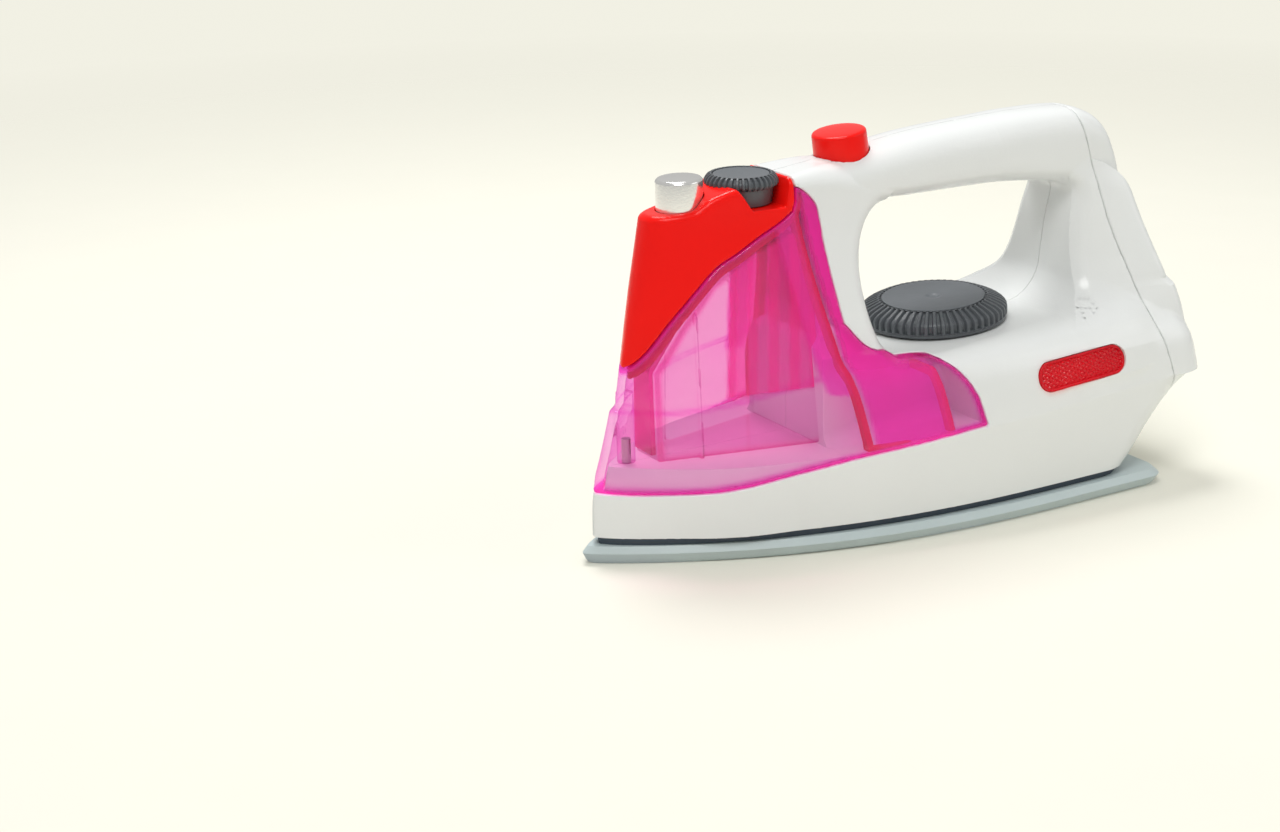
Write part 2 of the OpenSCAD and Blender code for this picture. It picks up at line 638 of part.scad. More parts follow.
// Speaker, face down over the holes in the soleplate
speaker_h = speaker_r * 0.3;
magnet_r = speaker_r / 2;
module speaker_basket() color("darkslategray") translate([speaker_x, 0, sole_t]) rotate_extrude()
  polygon([[speaker_r * 0.2, speaker_h * 0.7], [speaker_r * 0.85, seam * 2], [speaker_r * 0.85, 0], [speaker_r, 0],
    [speaker_r, speaker_h * 0.3], [magnet_r, speaker_h], [0, speaker_h], [0, speaker_h * 0.7]]);
module speaker_magnet() color("silver") translate([speaker_x, 0, sole_t + speaker_h])
  cylinder(r = magnet_r, h = speaker_h * 0.8);

// Battery box: open below, over an opening in the soleplate that the door closes

module bay(grow, z, h) translate([box_x - bay_l / 2 - grow, -bay_w / 2 - grow, z])
  cube([bay_l + 2 * grow, bay_w + 2 * grow, h]);

module battery_box() color("lightgray") difference() {
  union() {
    bay(box_wall, sole_t, bay_top - sole_t + box_wall);
    // Boss for the screw of the door
    translate([door_screw_x, 0, sole_t]) cylinder(r = screw_r + box_wall, h = screw_l * 0.45);
    translate([box_x + bay_l / 2, -box_wall / 2, sole_t]) cube([leg_x - bay_l / 2, box_wall, screw_l * 0.45]);
  }
  bay(0, sole_t - over, bay_top - sole_t + over);
  translate([door_screw_x, 0, 0]) cylinder(r = screw_r, h = sole_t + screw_l * 0.35);
}

module battery_cells() color("steelblue") for (s = [-1, 1])
  translate([box_x - s * box_wall / 4, s * (cell_r + fit / 2), cell_z]) rotate([0, 90 * s, 0]) {
    translate([0, 0, -cell_l / 2]) cylinder(r = cell_r, h = cell_l - box_wall / 2);
    translate([0, 0, cell_l / 2 - box_wall / 2]) cylinder(r = cell_r / 3, h = box_wall / 2);
  }

// Contacts: a plate at each end, with a stepped spring on the minus side
contact_t = wire_r;
module battery_contacts() color("silver") for (e = [-1, 1], s = [-1, 1])
  translate([box_x + e * (bay_l / 2 - contact_t), s * (cell_r + fit / 2), cell_z]) rotate([0, -90 * e, 0]) {
    translate([0, 0, -contact_t]) cylinder(r = cell_r * 0.7, h = contact_t);
    if (e * s < 0) cylinder(r1 = cell_r * 0.6, r2 = cell_r * 0.4, h = box_wall);
    else cylinder(r = cell_r * 0.3, h = box_wall / 2);
  }

door_seat_z = door_z + door_t / 2;
door_tab_l = box_wall + leg_x - bay_l / 2 + screw_head_r * 1.5;
module battery_door() color("gray") difference() {
  union() {
    bay(-fit, door_z, door_t);
    translate([box_x + bay_l / 2 - box_wall, -screw_head_r * 1.5, door_z])
      cube([door_tab_l, screw_head_r * 3, door_t]);
  }
  translate([door_screw_x, 0, 0]) {
    cylinder(r = screw_r + fit, h = sole_t);
    cylinder(r = screw_head_r + fit, h = door_seat_z);
  }
}
module battery_door_screw() color("silver") translate([door_screw_x, 0, door_seat_z]) {
  translate([0, 0, -door_t * 0.4]) cylinder(r = screw_head_r, h = door_t * 0.4);
  cylinder(r = screw_r - run_fit, h = screw_l * 0.55);
}

// The soleplate: a pointed plate with two bevels round its edge
function sole_plan(inset) = plan_side(-iron_l / 2 + inset * 1.3, -iron_l, sole_l - iron_l / 2 - inset,
  sole_w / 2 - inset, iron_l * 0.75, 1, sole_corner_r);
sole_under_inset = sole_t * 0.5;
sole_top_inset = sole_t * 0.42;
speaker_hole_r = screw_r * 0.8;

module soleplate() color([0.56, 0.62, 0.62]) difference() {
  union() {
    hull() {
      plate(sole_plan(sole_under_inset), 0);
      plate(sole_plan(0), sole_rim_z);
    }
    hull() {
      plate(sole_plan(0), sole_rim_z);
      plate(sole_plan(sole_top_inset), sole_t - slice_t);
    }
  }
  bay(0, -over, sole_t + 2 * over);
  bay(0, -over, over + door_z + door_t + fit);
  translate([box_x + bay_l / 2 - box_wall, -screw_head_r * 1.5 - fit, -over])
    cube([door_tab_l + fit, screw_head_r * 3 + 2 * fit, over + door_z + door_t + seam]);
  translate([door_screw_x, 0, -over]) cylinder(r = screw_r + fit / 2, h = sole_t + 2 * over);
  at_legs() {
    translate([0, 0, -over]) cylinder(r = screw_r + fit, h = sole_t + 2 * over);
    translate([0, 0, -over]) cylinder(r = screw_head_r + fit, h = over + sole_t / 2);
  }
  // Holes for the speaker: one in the middle, and two rings of them
  for (ring = [0:2], i = [0:max(ring * 6 - 1, 0)]) translate([speaker_x, 0, -over])
    rotate(ring > 0 ? 60 * i / ring : 0)
    translate([ring * speaker_r / 4, 0, 0]) cylinder(r = speaker_hole_r, h = sole_t + 2 * over);
}

module skirt_plan(inset, low, high) {
  row = hull_deck_shares[0];
  translate([0, 0, low]) linear_extrude(high - low) polygon(both_sides(plan_side(
    side([row[1], 0])[0] + inset * 1.2, -iron_l, side([row[2], 0])[0] - inset,
    body_w / 2 * row[3] - inset, iron_l * taper_share, hull_roundness, body_corner_r - inset)));
}

module sole_gasket() color([0.29, 0.33, 0.38]) difference() {
  skirt_plan(gasket_inset, sole_t, skirt_z);
  skirt_plan(gasket_inset + gasket_w, 0, 2 * skirt_z);
}

module sole_screws() color("silver") at_legs() translate([0, 0, sole_t / 2]) screw(screw_l * 0.6);
module body_screws() color("silver") across(body_screw_shares) translate([0, 0, screw_seat_y])
  rotate([180, 0, 0]) screw(screw_l);
module tank_screw() color("silver") translate([pillar_x, 0, tank_floor_z - shell_wall - fit])
  screw(screw_l * 0.7);

// The spray button: a silver cap that slides over the boss of its guide
spray_wall = spray_r * 0.17;
spray_top = cowl_top_z + spray_h;
spray_skirt_z = cowl_top_z - spray_h * 1.1;
spray_bore_r = spray_r - spray_wall;
spray_boss_top = cowl_top_z - spray_h * 0.4;
module spray_button() color("silver") translate([spray_x, 0, 0]) difference() {
  rotate_extrude() polygon([[0, spray_skirt_z], [spray_r, spray_skirt_z], [spray_r, spray_top - spray_wall],
    [spray_r - spray_wall, spray_top], [0, spray_top]]);
  translate([0, 0, spray_skirt_z - over])
    cylinder(r = spray_bore_r, h = over + spray_top - spray_skirt_z - 2 * spray_wall);
}
module spray_guide() color("gainsboro") translate([spray_x, 0, 0]) {
  low = spray_skirt_z - spray_travel - seam - frame_t;
  translate([0, 0, low]) cylinder(r = spray_r + cowl_wall * 1.1, h = frame_t);
  translate([0, 0, low]) cylinder(r = spray_bore_r - run_fit, h = spray_boss_top - low);
}
// A wire wound evenly between two heights
spring_sides = 6;
spring_steps = 12;
module coil(r, low, high, turns) {
  rings = turns * spring_steps;
  function ring(i) = let (a = 360 * i / spring_steps, z = low + wire_r + (high - low - 2 * wire_r) * i / rings)
    [for (k = [0:spring_sides - 1]) let (b = 360 * k / spring_sides, q = r + wire_r * cos(b))
      [q * cos(a), q * sin(a), z + wire_r * sin(b)]];
  polyhedron([for (i = [0:rings]) each ring(i)], concat(
    [for (i = [0:rings - 1], k = [0:spring_sides - 1])
      let (n = (k + 1) % spring_sides, p = i * spring_sides, q = p + spring_sides)
      each [[p + k, q + k, q + n], [p + k, q + n, p + n]]],
    [for (k = [1:spring_sides - 2]) [0, k, k + 1]],
    [for (k = [1:spring_sides - 2]) let (e = rings * spring_sides) [e, e + k + 1, e + k]]));
}
module spray_spring() color("silver") translate([spray_x, 0, 0])
  coil(spray_bore_r * 0.75, spray_boss_top + seam / 2, spray_top - 2 * spray_wall - seam / 2, 5);

// The steam dial: a ribbed cap on a plain skirt, with a disc let into its top
steam_gap = seam;
steam_disc_r = steam_r * 0.774;
steam_disc_t = steam_h * 0.14;
bush_h = steam_h * 0.42;
bush_top = pocket_z - cowl_wall;
steam_low = bush_top - bush_h;
module steam_dial() color("dimgray") translate([steam_x, 0, pocket_z]) difference() {
  union() {
    translate([0, 0, steam_gap]) cylinder(r = steam_skirt_r, h = steam_h - steam_rib_h);
    intersection() {
      translate([0, 0, steam_h - steam_rib_h * 1.1])
        ribbed(steam_r, dial_groove, steam_ribs, 2 * steam_rib_h);
      rotate_extrude() polygon([[0, 0], [steam_skirt_r - fit, steam_h - steam_rib_h],
        [steam_r + fit, steam_h - steam_rib_h * 0.8], [steam_r + fit, steam_h - steam_rib_h / 3],
        [steam_disc_r + dial_groove, steam_h], [0, steam_h]]);
    }
    translate([0, 0, steam_low - pocket_z]) cylinder(r = steam_stem_r, h = steam_h / 2 + pocket_z - steam_low);
  }
  translate([0, 0, steam_h - steam_disc_t]) cylinder(r = steam_disc_r, h = over);
  translate([0, 0, steam_low - pocket_z - over]) cylinder(r = screw_r, h = over + screw_l / 3);
}
module steam_dial_disc() color("slategray") translate([steam_x, 0, pocket_z + steam_h - steam_disc_t]) rotate_extrude()
  polygon([[0, 0], [steam_disc_r - fit / 2, 0], [steam_disc_r - fit / 2, steam_disc_t],
    [steam_disc_r * 0.88, steam_disc_t], [steam_disc_r * 0.8, steam_disc_t * 0.5], [0, steam_disc_t * 0.4]]);
module steam_dial_bush() color("gainsboro") translate([steam_x, 0, steam_low]) difference() {
  cylinder(r = steam_stem_r + shell_wall, h = bush_h);
  translate([0, 0, -over]) cylinder(r = steam_stem_r + run_fit, h = bush_h + 2 * over);
}
module steam_dial_screw() color("silver") translate([steam_x, 0, steam_low - seam]) {
  screw(screw_l * 0.3);
  translate([0, 0, -washer_t]) cylinder(r = steam_stem_r + shell_wall / 2, h = washer_t);
}

// The red button: a hollow cap in a cup inside the handle, with a switch under it
press_skirt = press_h * 1.05;
press_wall = press_r * 0.2;
press_cup_r = press_r + shell_wall * 0.6;
cup_floor_t = frame_t * 0.7;
cup_floor_z = -press_skirt - press_travel - 4 * seam;
press_cap_under = press_h - 1.5 * press_wall;
module handle_button() color("red") on_press() difference() {
  rotate_extrude() polygon([[0, -press_skirt], [press_r, -press_skirt],
    [press_r * 0.98, press_h - press_wall / 2], [press_r * 0.98 - press_wall / 2, press_h], [0, press_h]]);
  translate([0, 0, -press_skirt - over])
    cylinder(r = press_r - press_wall, h = over + press_skirt + press_cap_under);
}
module handle_button_guide() color("gainsboro") on_press() difference() {
  translate([0, 0, cup_floor_z - cup_floor_t])
    cylinder(r = press_cup_r, h = cup_floor_t - cup_floor_z - shell_wall * 1.8);
  translate([0, 0, cup_floor_z]) cylinder(r = press_r + run_fit, h = -cup_floor_z);
}
module handle_button_spring() color("silver") on_press() coil((press_r - press_wall) * 0.85,
  cup_floor_z + seam / 2, press_cap_under - seam / 2, 5);
module handle_switch() color("black") on_press() translate([0, 0, cup_floor_z]) {
  cylinder(r = press_r * 0.4, h = press_h);
  cylinder(r = press_r * 0.15, h = press_cap_under - cup_floor_z - press_travel - seam);
}

soleplate();
sole_gasket();
body_left();
body_right();
rear_cover();
water_tank();
inner_reservoir();
front_cowl();
spray_button();
spray_spring();
spray_guide();
steam_dial();
steam_dial_disc();
steam_dial_bush();
steam_dial_screw();
handle_button();
handle_button_spring();
handle_button_guide();
handle_switch();
temperature_dial();
temperature_dial_disc();
dial_retainer();
dial_screw();
inner_frame();
detent_spring();
circuit_board();
board_chips();
lamps();
window_left();
window_right();
speaker_basket();
speaker_magnet();
battery_box();
battery_cells();
battery_contacts();
battery_door();
battery_door_screw();
sole_screws();
body_screws();
tank_screw();
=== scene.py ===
"""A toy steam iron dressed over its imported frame: smooth moulded shells, clear tank, dials and buttons.

The outer form is one distance field, negative inside, and each cover is cut from it along its own seams
and turned into a mesh. Lengths are in metres; the nose points to -X, the heel to +X, and Z is up.
"""
import math
from functools import reduce
import bpy
import numpy as np
from bpy.props import FloatProperty, FloatVectorProperty, IntProperty, PointerProperty
from bpy.types import Operator, Panel, PropertyGroup
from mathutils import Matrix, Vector


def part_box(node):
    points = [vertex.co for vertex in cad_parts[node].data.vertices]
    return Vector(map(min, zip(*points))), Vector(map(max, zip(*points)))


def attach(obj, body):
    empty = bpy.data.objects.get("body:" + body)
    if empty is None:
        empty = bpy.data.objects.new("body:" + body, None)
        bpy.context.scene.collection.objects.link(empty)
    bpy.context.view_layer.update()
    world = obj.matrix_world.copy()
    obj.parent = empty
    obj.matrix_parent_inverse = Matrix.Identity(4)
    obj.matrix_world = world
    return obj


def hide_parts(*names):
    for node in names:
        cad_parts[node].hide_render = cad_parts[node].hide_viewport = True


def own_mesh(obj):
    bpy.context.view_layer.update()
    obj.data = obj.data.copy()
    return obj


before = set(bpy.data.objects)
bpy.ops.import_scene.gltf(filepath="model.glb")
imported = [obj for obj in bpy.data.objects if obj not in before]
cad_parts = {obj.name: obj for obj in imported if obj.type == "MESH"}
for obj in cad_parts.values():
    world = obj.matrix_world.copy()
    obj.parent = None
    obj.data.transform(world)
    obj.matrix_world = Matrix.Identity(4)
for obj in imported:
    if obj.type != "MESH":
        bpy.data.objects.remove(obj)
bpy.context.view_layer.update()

bl_info = {
    "name": "Toy steam iron",
    "version": (1, 0, 0),
    "blender": (4, 5, 0),
    "location": "View3D > Sidebar > Iron",
    "description": "Builds a toy steam iron with a clear tank, two dials and two push buttons",
    "category": "Add Mesh",
}

MM = 0.001
SOLE_LOW, SOLE_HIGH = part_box("soleplate")
HEEL_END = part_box("rear_cover")[1][0]


def length(name, description, default):
    """A length that a user may change."""
    return FloatProperty(name=name, description=description, default=default, min=0.0, precision=5,
                         unit="LENGTH")


def copies(name, description, default):
    """A number of copies that a user may change."""
    return IntProperty(name=name, description=description, default=default, min=8)


def colour(name, description, default):
    """A colour that a user may change."""
    return FloatVectorProperty(name=name, description=description, default=default, size=3, min=0.0, max=1.0,
                               subtype="COLOR")


class IronSizes(PropertyGroup):
    """Sizes of the iron."""
    body_l: length("Length", "Tip of the soleplate to the back of the heel", HEEL_END - SOLE_LOW[0])
    body_h: length("Handle height", "Height of the top of the handle", 115.4 * MM)
    body_w: length("Body width", "Width of the white body", 86 * MM)
    wall: length("Shell wall", "Wall of the white shells", 2.6 * MM)
    tank_wall: length("Tank wall", "Wall of the clear tank", 2.2 * MM)
    seam: length("Seam", "Gap between neighbouring covers", 0.3 * MM)
    dial_r: length("Dial radius", "Radius of the temperature dial over its ribs", 22.8 * MM)
    dial_ribs: copies("Dial ribs", "Ribs round the temperature dial", 54)
    steam_r: length("Steam dial radius", "Radius of the steam dial over its ribs", 10.85 * MM)
    steam_ribs: copies("Steam dial ribs", "Ribs round the steam dial", 36)
    cell: length("Mesh cell", "Size of the cells that the shells are meshed with", 0.9 * MM)


class IronColours(PropertyGroup):
    """Colours of the iron."""
    white: colour("White plastic", "Body and heel cover", (0.80, 0.82, 0.81))
    pink: colour("Clear pink", "Tank and reservoir", (1.0, 0.30, 0.72))
    red: colour("Red plastic", "Cowl and handle button", (0.93, 0.008, 0.005))
    grey: colour("Grey plastic", "Dials", (0.098, 0.108, 0.118))
    sole: colour("Soleplate", "Painted soleplate", (0.50, 0.585, 0.59))
    # The gasket's dark colour paints in the shade of the gap between the soleplate and the skirt
    gasket_gap_shade: colour("Gasket", "Dark strip on the soleplate", (0.055, 0.075, 0.1))
    silver: colour("Silver", "Spray button", (0.92, 0.92, 0.90))
    window: colour("Window", "Side windows", (0.88, 0.01, 0.025))
    background: colour("Background", "Floor and backdrop", (0.886, 0.875, 0.775))


def sizes():
    return bpy.context.scene.iron_sizes


def colours():
    return bpy.context.scene.iron_colours


# Distance fields


def unit(value):
    """A value held between 0 and 1."""
    return np.clip(value, 0, 1)


def cut(*fields):
    """Intersection of fields, with sharp edges."""
    return reduce(np.maximum, fields)


def join(*fields):
    """Union of fields, with sharp edges."""
    return reduce(np.minimum, fields)


class Track:
    """A smooth curve through knots that never overshoots them; it may have sharp corners at some knots."""
    EACH = 40

    def __init__(self, knots, values, corners=()):
        knots = np.asarray(knots, float)
        values = np.asarray(values, float)
        cuts = [0] + [i for i, k in enumerate(knots) if k in corners] + [len(knots) - 1]
        us, vs = [], []
        for a, b in zip(cuts[:-1], cuts[1:]):
            if b > a:
                u = np.linspace(knots[a], knots[b], self.EACH * (b - a))
                us.append(u)
                vs.append(self.run(knots[a:b + 1], values[a:b + 1], u))
        self.u = np.concatenate(us)
        self.v = np.concatenate(vs)
        steps = np.diff(self.u)
        steps[steps == 0] = 1
        rise = np.diff(self.v) / steps
        self.rise = np.concatenate([rise, rise[-1:]])

    @staticmethod
    def run(k, v, u):
        """Values of the curve at u, between two corners."""
        h = np.diff(k)
        d = np.diff(v) / h
        m = np.concatenate([d[:1], np.zeros(len(k) - 2), d[-1:]])
        for i in range(1, len(k) - 1):
            if d[i - 1] * d[i] > 0:
                a, b = 2 * h[i] + h[i - 1], h[i] + 2 * h[i - 1]
                m[i] = (a + b) / (a / d[i - 1] + b / d[i])
        i = np.clip(np.searchsorted(k, u, side="right") - 1, 0, len(k) - 2)
        t = (u - k[i]) / h[i]
        return ((1 + 2 * t) * (1 - t) ** 2 * v[i] + t * (1 - t) ** 2 * h[i] * m[i]
                + t * t * (3 - 2 * t) * v[i + 1] + t * t * (t - 1) * h[i] * m[i + 1])

    def __call__(self, u):
        return np.interp(u, self.u, self.v)

    def slope(self, u):
        return np.interp(u, self.u, self.rise)


def round_join(a, b, r):
    """Union of two fields with a fillet of radius r."""
    u = np.maximum(r - a, 0)
    v = np.maximum(r - b, 0)
    return np.maximum(r, np.minimum(a, b)) - np.sqrt(u * u + v * v)


def round_cut(a, b, r):
    """Intersection of two fields with a rounded edge of radius r."""
    return -round_join(-a, -b, r)


def smooth_line(points, closed=False, each=10):
    """Points of a smooth curve through the given ones."""
    p = np.asarray(points, float)
    n = len(p)
    out = []
    for i in range(n if closed else n - 1):
        p1, p2 = p[i], p[(i + 1) % n]
        p0 = p[(i - 1) % n] if closed or i > 0 else 2 * p1 - p2
        p3 = p[(i + 2) % n] if closed or i < n - 2 else 2 * p2 - p1
        for t in np.arange(each) / each:
            out.append(0.5 * (2 * p1 + (p2 - p0) * t + (2 * p0 - 5 * p1 + 4 * p2 - p3) * t * t
                              + (3 * p1 - p0 - 3 * p2 + p3) * t ** 3))
    if not closed:
        out.append(p[-1])
    return np.array(out)


class SideShape:
    """Signed distance to a closed outline in the side view, kept on a fine grid and read back smoothly."""
    STEP = 0.5 * MM
    LOW = np.array([-125, -15]) * MM
    COUNT = (500, 320)

    def __init__(self, points):
        x = self.LOW[0] + self.STEP * np.arange(self.COUNT[0])[:, None]
        z = self.LOW[1] + self.STEP * np.arange(self.COUNT[1])[None, :]
        best = np.full(self.COUNT, 1.0)
        inside = np.zeros(self.COUNT, bool)
        for a, b in zip(points, np.roll(points, -1, axis=0)):
            run = b - a
            size = run @ run
            if size == 0:
                continue
            t = unit(((x - a[0]) * run[0] + (z - a[1]) * run[1]) / size)
            best = np.minimum(best, (x - a[0] - t * run[0]) ** 2 + (z - a[1] - t * run[1]) ** 2)
            if run[1] != 0:
                crosses = (a[1] > z) != (b[1] > z)
                inside ^= crosses & (x < a[0] + (z - a[1]) * run[0] / run[1])
        self.grid = np.where(inside, -1, 1) * np.sqrt(best)

    def __call__(self, x, z):
        u = np.clip((x - self.LOW[0]) / self.STEP, 0, self.COUNT[0] - 1.001)
        v = np.clip((z - self.LOW[1]) / self.STEP, 0, self.COUNT[1] - 1.001)
        i, j = u.astype(int), v.astype(int)
        s, t = u - i, v - j
        near = (1 - t) * self.grid[i, j] + t * self.grid[i, j + 1]
        far = (1 - t) * self.grid[i + 1, j] + t * self.grid[i + 1, j + 1]
        return (1 - s) * near + s * far


class IronForm:
    """The outer form: a pointed hull, a nose tower, a handle and a heel, joined by fillets.

    The tables give places as shares of the length from the nose, heights as shares of the height, and half
    widths as shares of half the width.
    """
    # Decks of the hull: height, nose, stern, half width
    HULL = (
        (0.03, 0.012, 0.855, 0.955), (0.065, 0.012, 0.872, 0.963), (0.13, 0.013, 0.901, 0.975),
        (0.211, 0.019, 0.949, 0.99), (0.264, 0.028, 1.0, 1.0), (0.32, 0.037, 0.997, 0.975),
        (0.381, 0.046, 0.9945, 0.938), (0.42, 0.052, 0.992, 0.885), (0.45, 0.056, 0.9895, 0.80),
        (0.475, 0.059, 0.986, 0.68), (0.50, 0.06, 0.98, 0.5), (0.55, 0.062, 0.96, 0.1))
    # Decks of the tower: height, nose, half width, squareness of the nose
    TOWER = (
        (0.3, 0.05, 0.70, 1.15), (0.35, 0.056, 0.68, 1.2), (0.433, 0.0635, 0.62, 1.3),
        (0.52, 0.0735, 0.545, 1.5), (0.607, 0.083, 0.455, 1.8), (0.693, 0.093, 0.38, 2.2),
        (0.78, 0.103, 0.325, 2.5), (0.832, 0.109, 0.305, 2.7), (0.97, 0.124, 0.29, 2.9))
    # Decks of the heel: height, front, rear, front half width, rear half width
    HEEL = (
        (0.3986, 0.76, 0.994, 0.75, 0.837), (0.4506, 0.785, 0.991, 0.66, 0.80),
        (0.52, 0.81, 0.983, 0.49, 0.735), (0.5416, 0.813, 0.972, 0.45, 0.70),
        (0.563, 0.815, 0.968, 0.41, 0.68), (0.615, 0.82, 0.9595, 0.35, 0.62),
        (0.693, 0.825, 0.95, 0.31, 0.525), (0.78, 0.83, 0.9435, 0.295, 0.42),
        (0.858, 0.83, 0.9375, 0.29, 0.315), (0.90, 0.83, 0.934, 0.29, 0.295),
        (1.05, 0.83, 0.93, 0.29, 0.29))
    # Stations of the handle and its rear corner: place, underside, top, half width
    HANDLE = (
        (0.30, 0.70, 0.915, 0.27), (0.4, 0.75, 0.942, 0.285), (0.475, 0.79, 0.961, 0.3),
        (0.573, 0.795, 0.983, 0.3), (0.685, 0.795, 0.995, 0.3), (0.76, 0.785, 1.0, 0.3),
        (0.8, 0.77, 1.0, 0.3), (0.86, 0.74, 0.9965, 0.3), (0.8935, 0.72, 0.979, 0.3),
        (0.918, 0.70, 0.943, 0.3), (0.93, 0.69, 0.905, 0.3), (0.94, 0.68, 0.85, 0.3),
        (0.96, 0.66, 0.74, 0.3))
    # The hand opening
    OPENING = (
        (0.475, 0.818), (0.452, 0.777), (0.437, 0.71), (0.432, 0.627), (0.436, 0.535), (0.45, 0.46),
        (0.47, 0.40), (0.60, 0.36), (0.75, 0.38), (0.79, 0.44), (0.806, 0.50), (0.815, 0.56),
        (0.82, 0.63), (0.829, 0.70), (0.842, 0.765), (0.836, 0.793), (0.80, 0.806), (0.73, 0.815),
        (0.65, 0.82), (0.55, 0.821), (0.50, 0.825))
    # Top line of the cowl, rising to the handle
    TOP = ((0.05, 0.856), (0.10, 0.859), (0.17, 0.868), (0.195, 0.893), (0.235, 0.913), (0.32, 0.925),
           (0.40, 0.938), (0.46, 0.93), (0.52, 0.90), (0.6, 0.86))
    # Ledge on top of the hull, running into the saddle
    LEDGE = ((0.03, 0.382), (0.103, 0.384), (0.169, 0.40), (0.255, 0.424), (0.314, 0.438), (0.4, 0.453),
             (0.46, 0.4475), (0.5, 0.4475))

    # Where the saddle's line goes on, its height under the dial, and its rise in degrees
    SADDLE_PLACES = (0.02, 0.05, 0.1, 0.14)
    SADDLE_SHARE = 0.4585
    SADDLE_RISE = 3
    DIAL_X = 23.7 * MM
    # Radii in mm: of the heel's edges by height; by place, of the tower's crest; and by place, of the fillet
    # round the ledge and of the ledge's own edge
    HEEL_EDGE_R = ((0.4, 5), (0.52, 4), (0.6, 3.5), (0.75, 4), (0.88, 5), (1.05, 5))
    CREST_R = ((0.0, 1.8), (0.3, 1.8), (0.34, 4), (0.40, 6.5), (0.45, 8), (1.0, 8))
    LEDGE_R = ((0.0, 0.7, 0.8), (0.27, 0.7, 0.8), (0.36, 3.5, 2), (0.42, 6, 3), (0.5, 4, 3), (0.6, 4, 3),
               (0.72, 10, 3), (0.85, 11, 3), (0.94, 1, 1), (1.0, 0.5, 0.5))
    NOSE_R = 1.4 * MM
    STERN_R = 9 * MM
    OPENING_R = 5 * MM
    # How hull and tower narrow to the nose: over what share of the length, and by which powers
    HULL_TAPER = 0.735
    TOWER_TAPER = 0.30
    TAPER_POWER = 2.6
    HULL_SQUARE = 1.16
    # The hull's lines climb to the rear: from where, how steeply, how far, and up to which height
    LIFT_START = 10 * MM
    LIFT_SLOPE = 0.055
    LIFT_MOST = 4 * MM
    LIFT_TOP = 50 * MM
    LIFT_FADE = 12 * MM
    # The handle's section is a rounded box that turns squarer from a place on
    HANDLE_START = -38 * MM
    HANDLE_SQUARE = 2.5
    SQUARE_GAIN = 0.5
    GAIN_START = 40 * MM
    GAIN_OVER = 25 * MM
    # The heel starts inside the hull; its sides bulge to the rear and lean, which shrinks distances
    HEEL_FOOT = 46 * MM
    HEEL_BULGE = 1.8
    HEEL_LEAN = 0.85

    def __init__(self, s):
        self.s = s
        self.taper = s.body_l * self.HULL_TAPER
        self.tower_taper = s.body_l * self.TOWER_TAPER
        z, nose, stern, half = self.decks(self.HULL)
        crease = (z[4],)
        self.hull_nose = Track(z, self.along(nose))
        self.hull_stern = Track(z, self.along(stern), crease)
        self.hull_half = Track(z, self.across(half), crease)
        z, nose, half, square = self.decks(self.TOWER)
        self.tower_nose = Track(z, self.along(nose))
        self.tower_half = Track(z, self.across(half))
        self.tower_square = Track(z, square)
        z, front, rear, front_half, rear_half = self.decks(self.HEEL)
        self.heel_front = Track(z, self.along(front))
        self.heel_rear = Track(z, self.along(rear), (z[2], z[3]))
        self.heel_front_half = Track(z, self.across(front_half))
        self.heel_rear_half = Track(z, self.across(rear_half))
        z, r = self.decks(self.HEEL_EDGE_R)
        self.heel_edge_r = Track(z, r * MM)
        place, under, top, half = np.array(self.HANDLE).T
        x = self.along(place)
        self.handle_under = Track(x, under * s.body_h)
        self.handle_top = Track(x, top * s.body_h)
        self.handle_half = Track(x, self.across(half))
        self.opening = SideShape(smooth_line(self.side(self.OPENING), closed=True))
        self.top = Track(*self.side(self.TOP).T)
        rise = math.tan(math.radians(self.SADDLE_RISE))
        saddle = tuple((x / s.body_l + 0.5, self.SADDLE_SHARE + (x - self.DIAL_X) * rise / s.body_h)
                       for x in self.SADDLE_PLACES)
        self.ledge = Track(*self.side(self.LEDGE + saddle).T)
        place, r = np.array(self.CREST_R).T
        self.crest_r = Track(self.along(place), r * MM)
        place, ledge_r, edge_r = np.array(self.LEDGE_R).T
        self.ledge_r = Track(self.along(place), ledge_r * MM)
        self.edge_r = Track(self.along(place), edge_r * MM)

    def along(self, share):
        return (share - 0.5) * self.s.body_l

    def across(self, share):
        return share * self.s.body_w / 2

    def side(self, shares):
        """Points of the side view, from shares of length and height."""
        table = np.asarray(shares, float)
        return np.column_stack([self.along(table[:, 0]), table[:, 1] * self.s.body_h])

    def decks(self, table):
        """Columns of a table that starts with heights."""
        height, *others = np.array(table).T
        return height * self.s.body_h, *others

    def beside(self, y):
        """Distance from the middle plane, rounded off for the nose."""
        return np.sqrt(y * y + self.NOSE_R ** 2)

    def pointed(self, x, ya, nose, half, taper, b):
        """Distance to a plan outline that comes to a rounded point at the nose."""
        a = self.TAPER_POWER
        u = np.maximum(1 - (x - nose) / taper, 1e-6)
        q = ya / half
        total = u ** a + q ** b
        slope = np.hypot(a * u ** (a - 1) / taper, b * q ** (b - 1) / half)
        return (total ** (1 / b) - 1) * b * total ** (1 - 1 / b) / slope

    def hull(self, x, ya, z, grow=0.0):
        fade = unit((self.LIFT_TOP - z) / self.LIFT_FADE)
        lift = np.clip((x - self.LIFT_START) * self.LIFT_SLOPE, 0, self.LIFT_MOST)
        zs = z - lift * fade * fade * (3 - 2 * fade)
        half = self.hull_half(zs) + grow
        side = self.pointed(x, ya, self.hull_nose(zs) - grow, half, self.taper, self.HULL_SQUARE)
        side = side / np.hypot(1, self.hull_half.slope(zs))
        rear = (x - self.hull_stern(zs) - grow) / np.hypot(1, self.hull_stern.slope(zs))
        out = round_cut(side, rear, self.STERN_R)
        top = (z - self.ledge(x) - grow) / np.hypot(1, self.ledge.slope(x))
        return round_cut(out, top, self.edge_r(x))

